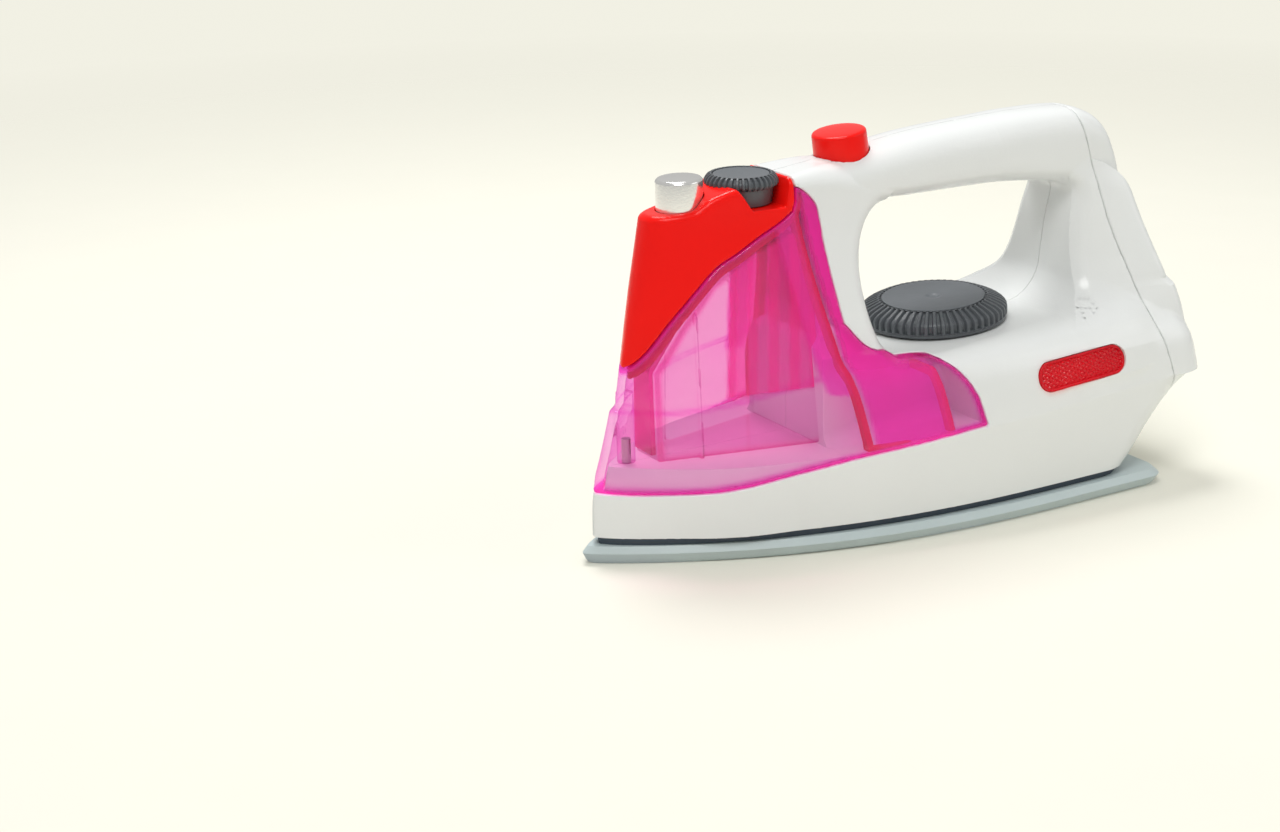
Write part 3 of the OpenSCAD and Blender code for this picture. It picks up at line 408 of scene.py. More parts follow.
    def tower(self, x, ya, z):
        side = self.pointed(x, ya, self.tower_nose(z), self.tower_half(z), self.tower_taper,
                            self.tower_square(z))
        side = side / np.hypot(1, self.tower_half.slope(z))
        top = (z - self.top(x)) / np.hypot(1, self.top.slope(x))
        return round_cut(cut(side, x - self.along(0.5)), top, self.crest_r(x))

    def handle(self, x, ya, z):
        low, high = self.handle_under(x), self.handle_top(x)
        half, tall = self.handle_half(x), (high - low) / 2
        q, v = ya / half, np.abs(z - (low + high) / 2) / tall
        n = self.HANDLE_SQUARE + unit((x - self.GAIN_START) / self.GAIN_OVER) * self.SQUARE_GAIN
        total = (q ** n + v ** n + 1e-9) ** (1 / n)
        fall = np.where(z > (low + high) / 2, self.handle_top.slope(x), 0)
        slope = np.hypot(q ** (n - 1) / half, v ** (n - 1) / tall * np.hypot(1, fall)) * total ** (1 - n)
        out = cut((total - 1) / np.maximum(slope, 1e-6), self.HANDLE_START - x)
        back = (x - self.heel_rear(z)) / np.hypot(1, self.heel_rear.slope(z))
        return round_cut(out, back, self.heel_edge_r(z))

    def heel(self, x, ya, z):
        front, rear = self.heel_front(z), self.heel_rear(z)
        t = unit((x - front) / (rear - front))
        front_half = self.heel_front_half(z)
        half = front_half + (self.heel_rear_half(z) - front_half) * (1 - (1 - t) ** self.HEEL_BULGE)
        back = (x - rear) / np.hypot(1, self.heel_rear.slope(z))
        out = round_cut((ya - half) * self.HEEL_LEAN, back, self.heel_edge_r(z))
        top = z - (self.handle_under(x) + self.handle_top(x)) / 2
        return cut(out, front - x, top, self.HEEL_FOOT - z)

    def __call__(self, x, y, z):
        ya = self.beside(y)
        upper = join(self.tower(x, ya, z), self.handle(x, ya, z), self.heel(x, ya, z))
        upper = round_cut(upper, -self.opening(x, z), self.OPENING_R)
        return round_join(self.hull(x, ya, z), upper, self.ledge_r(x))


# Cells along a block, which is skipped where it is far from the surface, and blocks worked on at once
BLOCK = 6
BATCH = 1500
# The four cells round an edge of the grid, by the axis that the edge runs along
AROUND = np.array((((0, -1, -1), (0, 0, -1), (0, 0, 0), (0, -1, 0)),
                   ((-1, 0, -1), (-1, 0, 0), (0, 0, 0), (0, 0, -1)),
                   ((-1, -1, 0), (0, -1, 0), (0, 0, 0), (-1, 0, 0))))
# How strongly a cell's point is drawn to the middle of its crossings, and how many cells it may lie away
DRAW = 0.08
REACH = 0.75


def field_values(field, low, count, cell):
    """A field on a grid; a block that is far from the surface has one value."""
    mids = [low[k] + (np.arange(0, count[k], BLOCK) + (BLOCK - 1) / 2) * cell for k in range(3)]
    rough = field(*np.meshgrid(*mids, indexing="ij"))
    value = rough.astype(np.float32)
    for axis in range(3):
        value = np.repeat(value, BLOCK, axis)
    value = value[:count[0], :count[1], :count[2]]
    near = np.argwhere(np.abs(rough) < BLOCK * cell * 1.5)
    offsets = np.stack(np.meshgrid(*[np.arange(BLOCK)] * 3, indexing="ij"), -1).reshape(-1, 3)
    for part in np.array_split(near, max(1, len(near) // BATCH)):
        ijk = (part[:, None, :] * BLOCK + offsets[None]).reshape(-1, 3)
        ijk = ijk[(ijk < count).all(1)]
        value[tuple(ijk.T)] = field(*(low + ijk * cell).T)
    return value


def cell_points(owner, p, n, total):
    """A point for each cell, where the planes through its crossings p with normals n meet best."""
    weight = np.bincount(owner, minlength=total)
    mean = np.column_stack([np.bincount(owner, p[:, k], total) for k in range(3)]) / weight[:, None]
    away = np.einsum("ij,ij->i", n, p - mean[owner])
    left = np.empty((total, 3, 3))
    for i in range(3):
        for j in range(3):
            left[:, i, j] = np.bincount(owner, n[:, i] * n[:, j], total)
    left += np.eye(3) * DRAW * weight[:, None, None]
    right = np.column_stack([np.bincount(owner, n[:, k] * away, total) for k in range(3)])
    return mean + np.linalg.solve(left, right[:, :, None])[:, :, 0]


def mesh_field(field, low, high, cell):
    """Points and quads of the surface where a field is zero, with one point in each cell that it passes."""
    low = np.asarray(low, float) - 1.5 * cell
    count = np.ceil((np.asarray(high, float) + 1.5 * cell - low) / cell).astype(int) + 1
    inside = field_values(field, low, count, cell) < 0
    starts, axes, flips = [], [], []
    for axis in range(3):
        a = np.take(inside, range(count[axis] - 1), axis)
        b = np.take(inside, range(1, count[axis]), axis)
        found = np.argwhere(a != b)
        starts.append(found)
        axes.append(np.full(len(found), axis))
        flips.append(a[found[:, 0], found[:, 1], found[:, 2]])
    edge, axis, flip = np.concatenate(starts), np.concatenate(axes), np.concatenate(flips)
    step = np.eye(3, dtype=int)[axis]
    a, b = low + edge * cell, low + (edge + step) * cell
    fa, fb = field(*a.T), field(*b.T)
    for _ in range(4):
        t = np.clip(fa / np.where(fa == fb, 1, fa - fb), 0.02, 0.98)[:, None]
        c = a + (b - a) * t
        fc = field(*c.T)
        keep = (fc < 0) == (fa < 0)
        a, fa = np.where(keep[:, None], c, a), np.where(keep, fc, fa)
        b, fb = np.where(keep[:, None], b, c), np.where(keep, fb, fc)
    cross = np.where((np.abs(fa) < np.abs(fb))[:, None], a, b)
    # Each crossing is shared by the four cells round its edge
    cells = edge[:, None, :] + AROUND[axis]
    ids = (cells[..., 0] * count[1] + cells[..., 1]) * count[2] + cells[..., 2]
    flat, place = np.unique(ids.ravel(), return_inverse=True)
    place = place.reshape(ids.shape)
    repeat = np.repeat(np.arange(len(cross)), 4)
    points = cell_points(place.ravel(), cross[repeat], slope_of(field, cross)[repeat], len(flat))
    columns = flat // (count[1] * count[2]), flat // count[2] % count[1], flat % count[2]
    centre = low + (np.column_stack(columns) + 0.5) * cell
    points = np.clip(points, centre - REACH * cell, centre + REACH * cell)
    quads = np.where(flip[:, None], place, place[:, ::-1])
    return points, quads


def slope_of(field, p, step=0.03 * MM):
    """Unit normals of a field."""
    out = np.empty_like(p)
    for k in range(3):
        d = np.zeros(3)
        d[k] = step
        out[:, k] = field(*(p + d).T) - field(*(p - d).T)
    return out / np.maximum(np.linalg.norm(out, axis=1), 1e-12)[:, None]


# Seams between the covers


class IronSeams:
    """Side views of the blocks that the covers are cut with, as shares of length and height."""
    TANK_EDGE = (
        (0.015, 0.178), (0.081, 0.176), (0.167, 0.183), (0.27, 0.211), (0.356, 0.235), (0.468, 0.254),
        (0.569, 0.271))
    LOBE_EDGE = (
        (0.559, 0.344), (0.544, 0.392), (0.52, 0.439), (0.483, 0.472), (0.454, 0.476), (0.426, 0.48),
        (0.404, 0.503), (0.38, 0.557))
    COLUMN_EDGE = (
        (0.38, 0.557), (0.376, 0.642), (0.37, 0.746), (0.365, 0.834), (0.355, 0.868), (0.34, 0.893),
        (0.328, 0.905))
    COWL_EDGE = ((0.06, 0.481), (0.071, 0.481), (0.09, 0.518), (0.122, 0.6), (0.159, 0.672), (0.195, 0.728),
                 (0.23, 0.758), (0.265, 0.79), (0.3, 0.818), (0.322, 0.842))
    HEEL_EDGE = (
        (0.855, 1.02), (0.8595, 0.951), (0.873, 0.851), (0.885, 0.684), (0.902, 0.537), (0.9145, 0.394),
        (0.926, 0.299), (0.935, 0.228))
    NOTCH = ((0.238, 1.0), (0.236, 0.915), (0.259, 0.855), (0.312, 0.855), (0.32, 0.92), (0.318, 1.0))
    RESERVOIR = (
        (0.11, 0.2435), (0.357, 0.2435), (0.357, 0.5), (0.358, 0.58), (0.335, 0.78), (0.27, 0.745),
        (0.2, 0.675), (0.15, 0.57), (0.11, 0.47))
    # Half width of the white core between the lobes: height and half width in mm, and its rounded edge
    CORE = ((0, 20.5), (54, 20.5), (58, 17), (62, 11))
    CORE_R = 5 * MM
    EACH = 5
    # The tank's edge bounds its nose up to this point, and its lobes from there on
    SPLIT = 3 * EACH

    def __init__(self, form):
        side = form.side
        lines = (self.TANK_EDGE, self.LOBE_EDGE, self.COLUMN_EDGE, self.COWL_EDGE, self.HEEL_EDGE)
        tank, lobe, column, cowl, heel = (smooth_line(side(line), each=self.EACH) for line in lines)
        self.nose_side = SideShape(np.concatenate([
            tank[:self.SPLIT + 1], side(((0.345, 0.232), (0.345, 0.49))), column,
            side(((0.328, 1.1), (-0.1, 1.1), (-0.1, 0.178)))]))
        self.lobe_side = SideShape(np.concatenate([tank[self.SPLIT:], lobe, side(((0.3, 0.557),))]))
        self.cowl = SideShape(np.concatenate([
            side(((-0.1, 0.481),)), cowl, side(((0.327, 0.865), (0.328, 1.1), (-0.1, 1.1)))]))
        self.heel = SideShape(np.concatenate([heel, side(((0.97, 0.2), (1.05, 0.2), (1.05, 1.02)))]))
        self.reservoir = SideShape(side(self.RESERVOIR))
        self.notch = SideShape(side(self.NOTCH))
        self.tank_line = tank
        self.core = np.array(self.CORE) * MM

    def foot(self, x):
        """Height of the lower edge of the tank."""
        return np.interp(x, self.tank_line[:, 0], self.tank_line[:, 1])

    def nose(self, x, y, z):
        """Block of the tank with the cowl on it."""
        core = np.interp(z, self.core[:, 0], self.core[:, 1])
        return join(self.nose_side(x, z), round_cut(self.lobe_side(x, z), core - np.abs(y), self.CORE_R))

    def tank(self, x, y, z):
        """Block of the tank alone, drawn in by the seam."""
        return cut(self.nose(x, y, z), -self.cowl(x, z)) + sizes().seam


FORMS = {}


def form_and_seams():
    """The outer form and its seams, made once for each set of sizes."""
    s = sizes()
    key = (s.body_l, s.body_h, s.body_w)
    if key not in FORMS:
        form = IronForm(s)
        FORMS[key] = form, IronSeams(form)
    return FORMS[key]


# Shader graphs


class Wire:
    """A shader socket that does sums with Python's own operators."""

    def __init__(self, paint, socket):
        self.paint = paint
        self.socket = socket

    def sum(self, operation, a, b=0.0, clamp=False):
        return self.paint.node("Math", {0: a, 1: b}, operation=operation, use_clamp=clamp)

    def __add__(self, other):
        return self.sum("ADD", self, other)

    def __radd__(self, other):
        return self.sum("ADD", other, self)

    def __sub__(self, other):
        return self.sum("SUBTRACT", self, other)

    def __rsub__(self, other):
        return self.sum("SUBTRACT", other, self)

    def __mul__(self, other):
        return self.sum("MULTIPLY", self, other)

    def __truediv__(self, other):
        return self.sum("DIVIDE", self, other)

    def __pow__(self, other):
        return self.sum("POWER", self, other)

    def __abs__(self):
        return self.sum("ABSOLUTE", self)

    def larger(self, other):
        return self.sum("MAXIMUM", self, other)

    def clamped(self):
        return self.sum("ADD", self, clamp=True)


class Paint:
    """The node tree of a material or a world while it is made."""

    def __init__(self, owner):
        self.owner = owner
        owner.use_nodes = True
        self.tree = owner.node_tree
        self.tree.nodes.clear()

    def node(self, kind, values=None, out=0, **settings):
        """A node of a kind: its settings first, then its values and links; returns one of its outputs."""
        made = self.tree.nodes.new(f"ShaderNode{kind}")
        for key, value in settings.items():
            setattr(made, key, value)
        for key, value in (values or {}).items():
            if isinstance(value, Wire):
                self.tree.links.new(value.socket, made.inputs[key])
            else:
                made.inputs[key].default_value = value
        return Wire(self, made.outputs[out])

    def place(self):
        return self.node("TexCoord", out="Object")

    def ray(self, kind):
        """1 for rays of a kind."""
        return self.node("LightPath", out=f"Is {kind} Ray")

    def noise(self, scale, detail):
        return self.node("TexNoise", {"Vector": self.place(), "Scale": scale, "Detail": detail})

    def mix(self, factor, a, b):
        return self.node("Mix", {0: factor, 6: a, 7: b}, 2, data_type="RGBA")

    def blend(self, factor, a, b):
        return self.node("MixShader", {0: factor, 1: a, 2: b})

    def bump(self, height, distance):
        return self.node("Bump", {"Height": height, "Distance": distance, "Strength": 1.0})

    def finish(self, shader, kind="Material"):
        out = self.tree.nodes.new(f"ShaderNodeOutput{kind}")
        self.tree.links.new(shader.socket, out.inputs["Surface"])
        return self.owner


def shade(colour, share):
    """A colour made darker or lighter, opaque."""
    return tuple(min(1.0, c * share) for c in tuple(colour)[:3]) + (1.0,)


def plastic(paint, colour, rough, grain=0.02 * MM, spread=0.04, vary=0.03, metal=0.0, shine=0.5):
    """Moulded plastic or metal: slight changes of shade, a fine grain, and scuffs that show in the gloss."""
    broad = paint.noise(45.0, 2.0)
    fine = paint.noise(1400.0, 2.0)
    scuff = paint.noise(240.0, 5.0)
    values = {
        "Base Color": paint.mix(broad, shade(colour, 1 - vary), shade(colour, 1 + vary)),
        "Roughness": (rough + (scuff - 0.5) * spread * 2).clamped(),
        "Normal": paint.bump(fine, grain),
        "Metallic": metal,
        "Specular IOR Level": shine,
    }
    return paint.finish(paint.node("BsdfPrincipled", values))


def clear_plastic(paint, light, deep, haze, deep_haze, haze_share, lamp, solid=False):
    """Clear plastic: a light tint seen straight on, a deep one seen edge on or marked by "edge", and a gloss.

    Light of a lamp that passes takes the lamp's tint. A solid piece shows its marked places on the near side
    only.
    """
    facing = paint.node("LayerWeight", {"Blend": 0.5}, "Facing")
    edge = paint.node("Attribute", out="Fac", attribute_name="edge")
    if solid:
        edge = edge * (1 - paint.node("NewGeometry", out="Backfacing"))
    clear = paint.node("BsdfTransparent", {"Color": (*light, 1)})
    dark = paint.node("BsdfTransparent", {"Color": (*deep, 1)})
    tint = paint.blend((facing ** 2.6 * 0.8 + edge * 0.9).clamped(), clear, dark)
    broad = paint.noise(40.0, 2.0)
    pale = paint.mix(broad, shade(haze, 0.95), shade(haze, 1.05))
    fog = paint.node("BsdfDiffuse", {"Color": paint.mix(edge, pale, (*deep_haze, 1))})
    body = paint.blend(((broad - 0.5) * 0.02 + edge ** 3 * 0.6 + haze_share).clamped(), tint, fog)
    ripple = paint.bump(paint.noise(120.0, 2.0), 0.05 * MM)
    rough = (paint.noise(300.0, 4.0) - 0.5) * 0.04 + 0.05
    gloss = paint.node("BsdfGlossy", {"Roughness": rough.clamped(), "Normal": ripple})
    seen = paint.blend((facing ** 5 * 0.7 + 0.035).clamped(), body, gloss)
    through = paint.node("BsdfTransparent", {"Color": (*lamp, 1)})
    return paint.finish(paint.blend(paint.ray("Shadow"), seen, through))


MADE = {}
# Slots of the finishes that share one; every other finish is a slot of its own
SLOTS = {"pink_inner": "pink_clear", "pink_deep": "pink_clear"}


def materials():
    """Makers of the finishes, by name."""
    c = colours()
    return {
        "white_body": lambda p: plastic(p, c.white, 0.24, spread=0.03, vary=0.012),
        "red_gloss": lambda p: plastic(p, c.red, 0.2, spread=0.03, shine=0.18),
        "grey_dial": lambda p: plastic(p, c.grey, 0.36, grain=0.03 * MM, shine=0.35),
        "grey_disc": lambda p: plastic(p, shade(c.grey, 1.25)[:3], 0.4, grain=0.03 * MM, shine=0.35),
        "grey_sole": lambda p: plastic(p, c.sole, 0.38, grain=0.03 * MM, vary=0.05),
        # The dark strip's colour is painted shade of the gap over the soleplate
        "dark_strip": lambda p: plastic(p, c.gasket_gap_shade, 0.5, grain=0.04 * MM, shine=0.3),
        "silver_button": lambda p: plastic(p, c.silver, 0.19, spread=0.02, metal=0.9),
        "pink_clear": lambda p: clear_plastic(p, (1.0, 0.85, 0.955), (1.0, 0.10, 0.84), c.pink,
                                              (1.0, 0.012, 0.42), 0.02, (1.0, 0.75, 0.90)),
        "pink_inner": lambda p: clear_plastic(p, (1.0, 0.88, 0.965), (1.0, 0.10, 0.62), c.pink,
                                              (1.0, 0.015, 0.30), 0.05, (1.0, 0.88, 0.95), solid=True),
        "pink_deep": lambda p: clear_plastic(p, (1.0, 0.15, 0.5), (0.9, 0.03, 0.3), (0.82, 0.004, 0.12),
                                             (0.82, 0.004, 0.12), 0.75, (1.0, 0.85, 0.93)),
        "red_clear": lambda p: clear_plastic(p, (0.9, 0.1, 0.15), (0.6, 0.02, 0.04), c.window, c.window, 0.6,
                                             (1.0, 0.4, 0.4)),
        "inner_plastic": lambda p: plastic(p, (0.72, 0.72, 0.70), 0.45),
        "black_plastic": lambda p: plastic(p, (0.03, 0.03, 0.032), 0.42),
        "green_board": lambda p: plastic(p, (0.03, 0.22, 0.08), 0.4, vary=0.1),
        "spring_steel": lambda p: plastic(p, (0.62, 0.62, 0.6), 0.25, metal=1.0, vary=0.06),
        "screw_steel": lambda p: plastic(p, (0.58, 0.58, 0.56), 0.34, metal=1.0, vary=0.08),
        "cell_jacket": lambda p: plastic(p, (0.06, 0.16, 0.34), 0.3, metal=0.4, vary=0.05),
    }


def finish_named(name):
    """The material of a finish, made once."""
    if name not in MADE:
        MADE[name] = materials()[name](Paint(bpy.data.materials.new(f"iron_{name}")))
    return MADE[name]


# Pieces


def add_mesh(name, points, faces, finish, body, node=None, normals=None):
    """A piece made from points and faces, with its finish, its body, and the CAD node it stands for."""
    mesh = bpy.data.meshes.new(name)
    mesh.from_pydata(np.asarray(points).tolist(), [], [list(f) for f in faces])
    mesh.materials.append(finish_named(finish))
    piece = bpy.data.objects.new(name, mesh)
    bpy.context.scene.collection.objects.link(piece)
    mesh.shade_smooth()
    if normals is None:
        mesh.set_sharp_from_angle(angle=math.radians(35))
    else:
        mesh.normals_split_custom_set(normals.tolist())
    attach(piece, body)
    if node:
        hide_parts(node)
    SLOTS.get(finish, finish)
    return piece


def add_shell(name, field, low, high, finish, node=None, cell=None, place=None, edges=None):
    """A piece meshed from a field between two corners in mm.

    Its normals come from the field, so that wide curves shine evenly. Its "edge" values come from edges, and
    place turns and moves it.
    """
    points, quads = mesh_field(field, np.array(low) * MM, np.array(high) * MM, cell or sizes().cell)
    corners = points[quads]
    mids = corners.mean(axis=1, keepdims=True)
    inner = (corners + (mids - corners) * 0.4).reshape(-1, 3)
    normals = slope_of(field, inner, 0.15 * MM)
    depth = None if edges is None else edges(*points.T)
    if place is not None:
        turn, shift = place
        points = points @ turn.T + shift
        normals = normals @ turn.T
    piece = add_mesh(name, points, quads.tolist(), finish, "iron", node, normals)
    if depth is not None:
        mark = piece.data.attributes.new("edge", "FLOAT", "POINT")
        mark.data.foreach_set("value", depth.astype(np.float32))


def lathe(profile, count, change=None):
    """Points and faces of a profile of (radius, height) turned round Z; change(r, z, turn) moves radii."""
    turn = np.linspace(0, 2 * math.pi, count, endpoint=False)
    points, rings = [], []
    for r, z in profile:
        if r <= 0:
            rings.append([len(points)])
            points.append((0.0, 0.0, z))
            continue
        radius = np.full(count, r) if change is None else change(r, z, turn)
        rings.append(list(range(len(points), len(points) + count)))
        points += [(q * math.cos(t), q * math.sin(t), z) for q, t in zip(radius, turn)]
    faces = []
    for a, b in zip(rings, rings[1:]):
        for i in range(count):
            j = (i + 1) % count
            if len(a) == 1:
                faces.append((a[0], b[j], b[i]))
            elif len(b) == 1:
                faces.append((a[i], a[j], b[0]))
            else:
                faces.append((a[i], a[j], b[j], b[i]))
    return np.array(points), faces


def ribs(count, start, radii, depths):
    """Ribs above a height, for lathe, as deep as a table of depths by radius says."""
    def change(q, z, turn):
        depth = np.interp(q, radii, depths) if z > start else 0
        return q - depth * (1 - unit(0.6 + 1.6 * np.sin(turn * count)))
    return change


def coil(r, wire, low, high):
    """Points and faces of a spring of round wire with closed ends."""
    turns, closed, around, each = 5.5, 0.6, 10, 24
    t = np.linspace(0, turns, int(turns * each) + 1)
    rise = unit((t - closed) / (turns - 2 * closed))
    z = low + wire + (high - low - 2 * wire) * rise
    turn = 2 * math.pi * t[:, None]
    across = 2 * math.pi * np.arange(around)[None, :] / around
    q = r + wire * np.cos(across)
    points = np.stack([q * np.cos(turn), q * np.sin(turn), z[:, None] + wire * np.sin(across)], -1)
    last = (len(t) - 1) * around
    faces = [tuple(range(around)), tuple(range(last + around - 1, last - 1, -1))]
    for i in range(len(t) - 1):
        for k in range(around):
            a, b = i * around + k, i * around + (k + 1) % around
            faces.append((a, a + around, b + around, b))
    return points.reshape(-1, 3), faces


def soften(profile, r, steps=4):
    """A profile with its corners rounded; a point given with a third value keeps its own radius."""
    out = [tuple(profile[0][:2])]
    for before, here, after in zip(profile, profile[1:], profile[2:]):
        size = here[2] if len(here) > 2 else r
        p, q, n = (np.array(v[:2], float) for v in (before, here, after))
        a, b = p - q, n - q
        size = min(size, np.linalg.norm(a) * 0.45, np.linalg.norm(b) * 0.45)
        a, b = a / np.linalg.norm(a) * size, b / np.linalg.norm(b) * size
        for t in np.linspace(0, 1, steps + 1):
            out.append(tuple((1 - t) ** 2 * (q + a) + 2 * t * (1 - t) * q + t * t * (q + b)))
    out.append(tuple(profile[-1][:2]))
    return out


def placed(points, degrees, centre):
    """Points in mm turned about the Y axis and moved to a centre; a positive turn lifts the +X side."""
    a = math.radians(degrees)
    turn = np.array([[math.cos(a), 0, -math.sin(a)], [0, 1, 0], [math.sin(a), 0, math.cos(a)]])
    return points * MM @ turn.T + np.array(centre)


def box_field(x, y, z, low, high):
    return cut(*(np.maximum(a - p, p - b) for p, a, b in zip((x, y, z), low, high)))


def window_frame(side):
    """Axes along, up and out of a side window, and its centre; side is -1 on the left."""
    lean, rise = math.radians(WINDOW_LEAN), math.radians(WINDOW_RISE)
    out = np.array([0, side * math.cos(lean), math.sin(lean)])
    up = np.array([0, -side * math.sin(lean), math.cos(lean)])
    along = np.array([1.0, 0, 0])
    u = math.cos(rise) * along + math.sin(rise) * up
    v = -math.sin(rise) * along + math.cos(rise) * up
    return u, v, out, np.array([49.5, side * 41.0, 42.7]) * MM


WINDOW_L = 33 * MM
WINDOW_H = 9 * MM
WINDOW_LEAN = 18
WINDOW_RISE = 3
SEAM_R = 0.5 * MM
SKIRT_Z = 7.5 * MM
PRESS = (-10.5 * MM, 0, 110.03 * MM)
PRESS_TILT = 8
SPRAY_X = -65.5 * MM
STEAM_X = -45 * MM
POCKET_Z = 98.67 * MM
# Recesses of the body screws, and the posts round them: radius, and distance of the end from the middle
SCREW_SHARES = ((0.385, 0.335), (0.86, 0.335), (0.65, 0.905), (0.82, 0.88))
SCREW = (3.1 * MM, 8.6 * MM)
POST = (5 * MM, 6.6 * MM)
# Openings of the dial's stem, by radius and height of its middle, and of the handle button
STEM = (5 * MM, 52 * MM)
PRESS_HOLE_R = 8.55 * MM


def stadium(u, v):
    """Distance to the outline of a window."""
    return np.hypot(np.maximum(np.abs(u) - (WINDOW_L - WINDOW_H) / 2, 0), v) - WINDOW_H / 2


def body_field(side):
    """One half of the white body: -1 is the left half."""
    form, seams = form_and_seams()
    s = sizes()
    u, v, out, centre = window_frame(side)
    tilt = math.radians(PRESS_TILT)

    def holes(x, y, z):
        """The dial's stem, the handle button and the window."""
        stem = cut(np.hypot(x - form.DIAL_X, y) - STEM[0], np.abs(z - STEM[1]) - 12 * MM)
        dx, dz = x - PRESS[0], z - PRESS[2]
        press = np.hypot(dx * math.cos(tilt) + dz * math.sin(tilt), y) - PRESS_HOLE_R
        px, py, pz = x - centre[0], y - centre[1], z - centre[2]
        along, up, depth = (px * axis[0] + py * axis[1] + pz * axis[2] for axis in (u, v, out))
        opening = cut(stadium(along, up) - 0.15 * MM, np.abs(depth) - 7 * MM)
        return join(stem, cut(press, -8 * MM - dz), opening)

    def field(x, y, z):
        front = join(seams.nose(x, y, z), seams.cowl(x, z))
        outer = form(x, y, z)
        solid = round_cut(round_cut(outer, -front, SEAM_R), -seams.heel(x, z), 0.4 * MM)
        plinth = cut(outer + s.tank_wall + 0.4 * MM, z - s.body_h * 0.24, x + 30 * MM)
        solid = cut(join(solid, plinth), SKIRT_Z - z)
        part = cut(solid, -cut(outer + s.wall, s.wall - front))
        if side > 0:
            for sx, sz in form.side(SCREW_SHARES):
                d = np.hypot(x - sx, z - sz)
                part = join(part, cut(solid, d - POST[0], POST[1] - y))
                part = cut(part, -cut(d - SCREW[0], SCREW[1] - y))
        return cut(part, -holes(x, y, z), 0.06 * MM - side * y)
    return field


def heel_field(x, y, z):
    form, seams = form_and_seams()
    outer = form(x, y, z)
    return cut(round_cut(outer, seams.heel(x, z) + sizes().seam, SEAM_R), -outer - sizes().wall)


def tank_field(x, y, z):
    form, seams = form_and_seams()
    outer = form(x, y, z)
    wall = cut(round_cut(outer, seams.tank(x, y, z), SEAM_R), -outer - sizes().tank_wall)
    return join(wall, cut(np.hypot(x + 85 * MM, y) - 2.6 * MM, 28 * MM - z, z - 48.8 * MM))


def rear_bar(x, z):
    """Distance behind the partition at the rear of the reservoir."""
    return x + 32 * MM - (87 * MM - z) * 0.152


def lobe_bar(x, z):
    """Distance behind the rib of a side lobe."""
    return x - (49.5 * MM - z) * 0.16


def tank_edges(x, y, z):
    """How deep the tank looks: most along its seams, its ledge and behind the rear partition."""
    form, seams = form_and_seams()
    seam = 1 - unit(-seams.tank(x, y, z) / (1.1 * MM) - 0.2)
    low = 1 - unit((z - seams.foot(x)) / (1.2 * MM) - 0.3)
    ledge = 0.5 * (1 - unit(np.abs(z - form.ledge(x) + 0.3 * MM) / (0.9 * MM)))
    reach = 9 * MM * unit((z - 45 * MM) / MM)
    inside = unit((rear_bar(x, z) + reach) / MM) * unit(-lobe_bar(x, z) / MM)
    inside = inside * unit((z - 29 * MM) / MM)
    inside = inside * (0.72 + 0.18 * unit((z - 46 * MM) / (12 * MM)))
    inside = inside * unit(np.abs(rear_bar(x, z)) / MM - 0.9)
    inside = np.where(rear_bar(x, z) < 0, inside * 0.8, inside)
    return unit(cut(seam * 0.9, low * 0.8, ledge, inside))


def bead_field(x, y, z):
    """Deep bars inside the tank: a bead along the cowl, the rear partition, and the ribs of its lobes."""
    form, seams = form_and_seams()
    outer = form(x, y, z) + sizes().tank_wall + 0.15 * MM
    block = seams.tank(x, y, z) + 0.2 * MM
    bead = cut(-outer - 2.4 * MM, np.abs(seams.cowl(x, z) - 2.7 * MM) - 1.1 * MM)
    partition = cut(-outer - 3.2 * MM, np.abs(rear_bar(x, z)) * 0.99 - 0.9 * MM)
    lobe = cut(-outer - 2.6 * MM, np.abs(lobe_bar(x, z)) * 0.98 - 0.9 * MM)
    foot = cut(-outer - 1.6 * MM, np.abs(z - 29 * MM) - 0.8 * MM, -23 * MM - x, x - 3 * MM)
    bars = cut(join(bead, partition, lobe, foot), 28.2 * MM - z)
    return round_cut(cut(bars, block), outer, 0.3 * MM)


def reservoir_half(x, z):
    """Half width of the reservoir, wide at the foot and the rear."""
    s = sizes()
    share, high = x / s.body_l + 0.5, unit((z / s.body_h - 0.2) / 0.65)
    foot = np.interp(share, (0.11, 0.34), (0.17, 0.44))
    top = np.interp(share, (0.11, 0.37), (0.12, 0.22))
    return (foot + (top - foot) * high) * s.body_w / 2


def reservoir_field(x, y, z):
    side = form_and_seams()[1].reservoir(x, z)
    half = reservoir_half(x, z)
    rib = cut(np.abs(x + 66 * MM) - 0.5 * MM, side, np.abs(y) - half - 0.8 * MM)
    return join(round_cut(side, np.abs(y) - half, 1.2 * MM), rib)


def reservoir_edges(x, y, z):
    """How deep the reservoir looks: along the edges of its box, and in upright bands at its rear."""
    side = np.abs(form_and_seams()[1].reservoir(x, z))
    half = np.abs(np.abs(y) - reservoir_half(x, z))
    rim = 1 - unit(np.maximum(side, half) / (1.3 * MM) - 0.6)
    place = x + 57 * MM - (z - 60 * MM) * 0.08
    band = 0.88 + 0.08 * np.clip(np.sin(place * 2 * math.pi / (6.5 * MM)) * 3, -1, 1)
    band = band * unit(place / MM) * unit((z - 44 * MM) / MM)
    return np.maximum(rim * 0.75, band)


def strip_field(x, y, z):
    """The deep strip up the front of the reservoir."""
    side = form_and_seams()[1].reservoir(x, z)
    across = np.abs(y) - reservoir_half(x, z) * 0.7
    return cut(side - 1.5 * MM, -side + 0.1 * MM, x + 62 * MM, across, 30 * MM - z)


def strip_edges(x, y, z):
    return np.full(len(x), 0.92)


